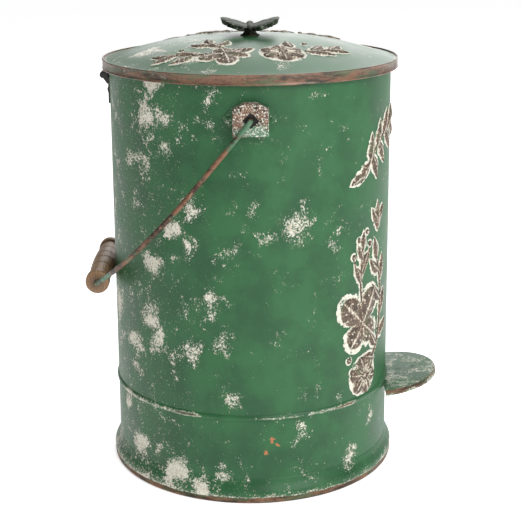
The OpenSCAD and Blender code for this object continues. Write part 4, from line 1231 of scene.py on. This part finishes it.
class MakeStage(bpy.types.Operator):
    """Set the pale floor, the soft studio light and the camera"""

    bl_idname = "pedal_can.stage"
    bl_label = "Stage"

    def execute(self, context):
        bm = bmesh.new()
        bmesh.ops.create_grid(bm, x_segments=1, y_segments=1, size=12.0)
        mesh = bpy.data.meshes.new("studio_floor")
        bm.to_mesh(mesh)
        bm.free()
        floor = bpy.data.objects.new("studio_floor", mesh)
        context.scene.collection.objects.link(floor)
        # The floor glows, to be even, except below the can, where it shows through the pedal's slot
        f = Finish("pale_floor")
        f.set(Base_Color=f.mix(f.noise(3, 2.0), (0.93, 0.93, 0.93, 1), (0.95, 0.95, 0.95, 1)), Roughness=0.7)
        f.shader.inputs["Emission Color"].default_value = (1, 1, 1, 1)
        away = f.add("VectorMath", {0: f.place}, operation="LENGTH").outputs["Value"]
        f.set(Emission_Strength=f.step(away, 0.125, 0.138, 0.0, 0.66))
        mesh.materials.append(f.material)

        world = bpy.data.worlds.new("studio_world")
        context.scene.world = world
        world.use_nodes = True
        sky = world.node_tree.nodes["Background"]
        sky.inputs[0].default_value = (1.0, 1.0, 1.0, 1)
        # The sky is darker towards the hinge
        ways = world.node_tree.nodes.new("ShaderNodeTexCoord").outputs["Generated"]
        split = world.node_tree.nodes.new("ShaderNodeSeparateXYZ")
        world.node_tree.links.new(ways, split.inputs[0])
        fall = world.node_tree.nodes.new("ShaderNodeMapRange")
        world.node_tree.links.new(split.outputs[1], fall.inputs[0])
        for socket, value in zip(fall.inputs[1:5], (-0.3, 0.9, 0.40, 0.20)):
            socket.default_value = value
        world.node_tree.links.new(fall.outputs[0], sky.inputs[1])

        # Soft disks: the key beside the pedal, one beyond the can, and one above
        for name, place, size, power in (
            ("key_light", (-1.5, -1.05, 1.3), 1.2, 31.0),
            ("back_light", (2.4, -0.5, 1.15), 2.4, 24.0),
            ("top_light", (0.1, -0.1, 2.0), 1.4, 14.0),
        ):
            lamp = bpy.data.lights.new(name, "AREA")
            lamp.shape = "DISK"
            lamp.size = size
            lamp.energy = power
            obj = bpy.data.objects.new(name, lamp)
            context.scene.collection.objects.link(obj)
            obj.location = place
            aim = Vector((0, 0, 0.22)) - Vector(place)
            obj.rotation_euler = aim.to_track_quat("-Z", "Y").to_euler()

        lens = bpy.data.cameras.new("camera")
        lens.sensor_width = 36.0
        lens.lens = 86.424
        lens.shift_y = -0.1169
        lens.clip_start = 0.05
        camera = bpy.data.objects.new("camera", lens)
        context.scene.collection.objects.link(camera)
        camera.location = (-1.15963, 0, 0.52545)
        camera.rotation_euler = [math.radians(a) for a in (76.485, 0.279, -90.529)]
        context.scene.camera = camera
        context.scene.view_settings.view_transform = "Standard"
        return {"FINISHED"}


class PedalCanPanel(bpy.types.Panel):
    """Lists the can's sizes, colours and pieces"""

    bl_idname = "VIEW3D_PT_pedal_can"
    bl_label = "Pedal trash can"
    bl_space_type = "VIEW_3D"
    bl_region_type = "UI"
    bl_category = "Pedal Can"

    def draw(self, context):
        layout = self.layout
        for group in (context.scene.can_sizes, context.scene.can_colours):
            column = layout.column(align=True)
            for name in group.__annotations__:
                column.prop(group, name)
        for maker in MAKERS:
            layout.operator(maker.bl_idname)


MAKERS = (
    MakeCan, MakeFoot, MakeLid, MakeEars, MakeBail, MakeGrip, MakePedal, MakeGarlands, MakeKnob,
    FinishHardware, MakeStage,
)
CLASSES = (CanSizes, CanColours, *MAKERS, PedalCanPanel)


def register():
    for cls in CLASSES:
        bpy.utils.register_class(cls)
    bpy.types.Scene.can_sizes = PointerProperty(type=CanSizes)
    bpy.types.Scene.can_colours = PointerProperty(type=CanColours)


def unregister():
    del bpy.types.Scene.can_colours
    del bpy.types.Scene.can_sizes
    for cls in reversed(CLASSES):
        bpy.utils.unregister_class(cls)


def main():
    register()
    can = bpy.ops.pedal_can
    makes = (
        can.can, can.foot, can.lid, can.ears, can.bail, can.grip, can.pedal, can.garlands, can.knob,
        can.hardware, can.stage,
    )
    for make in makes:
        make()
    bpy.context.view_layer.update()


if __name__ == "__main__":
    main()
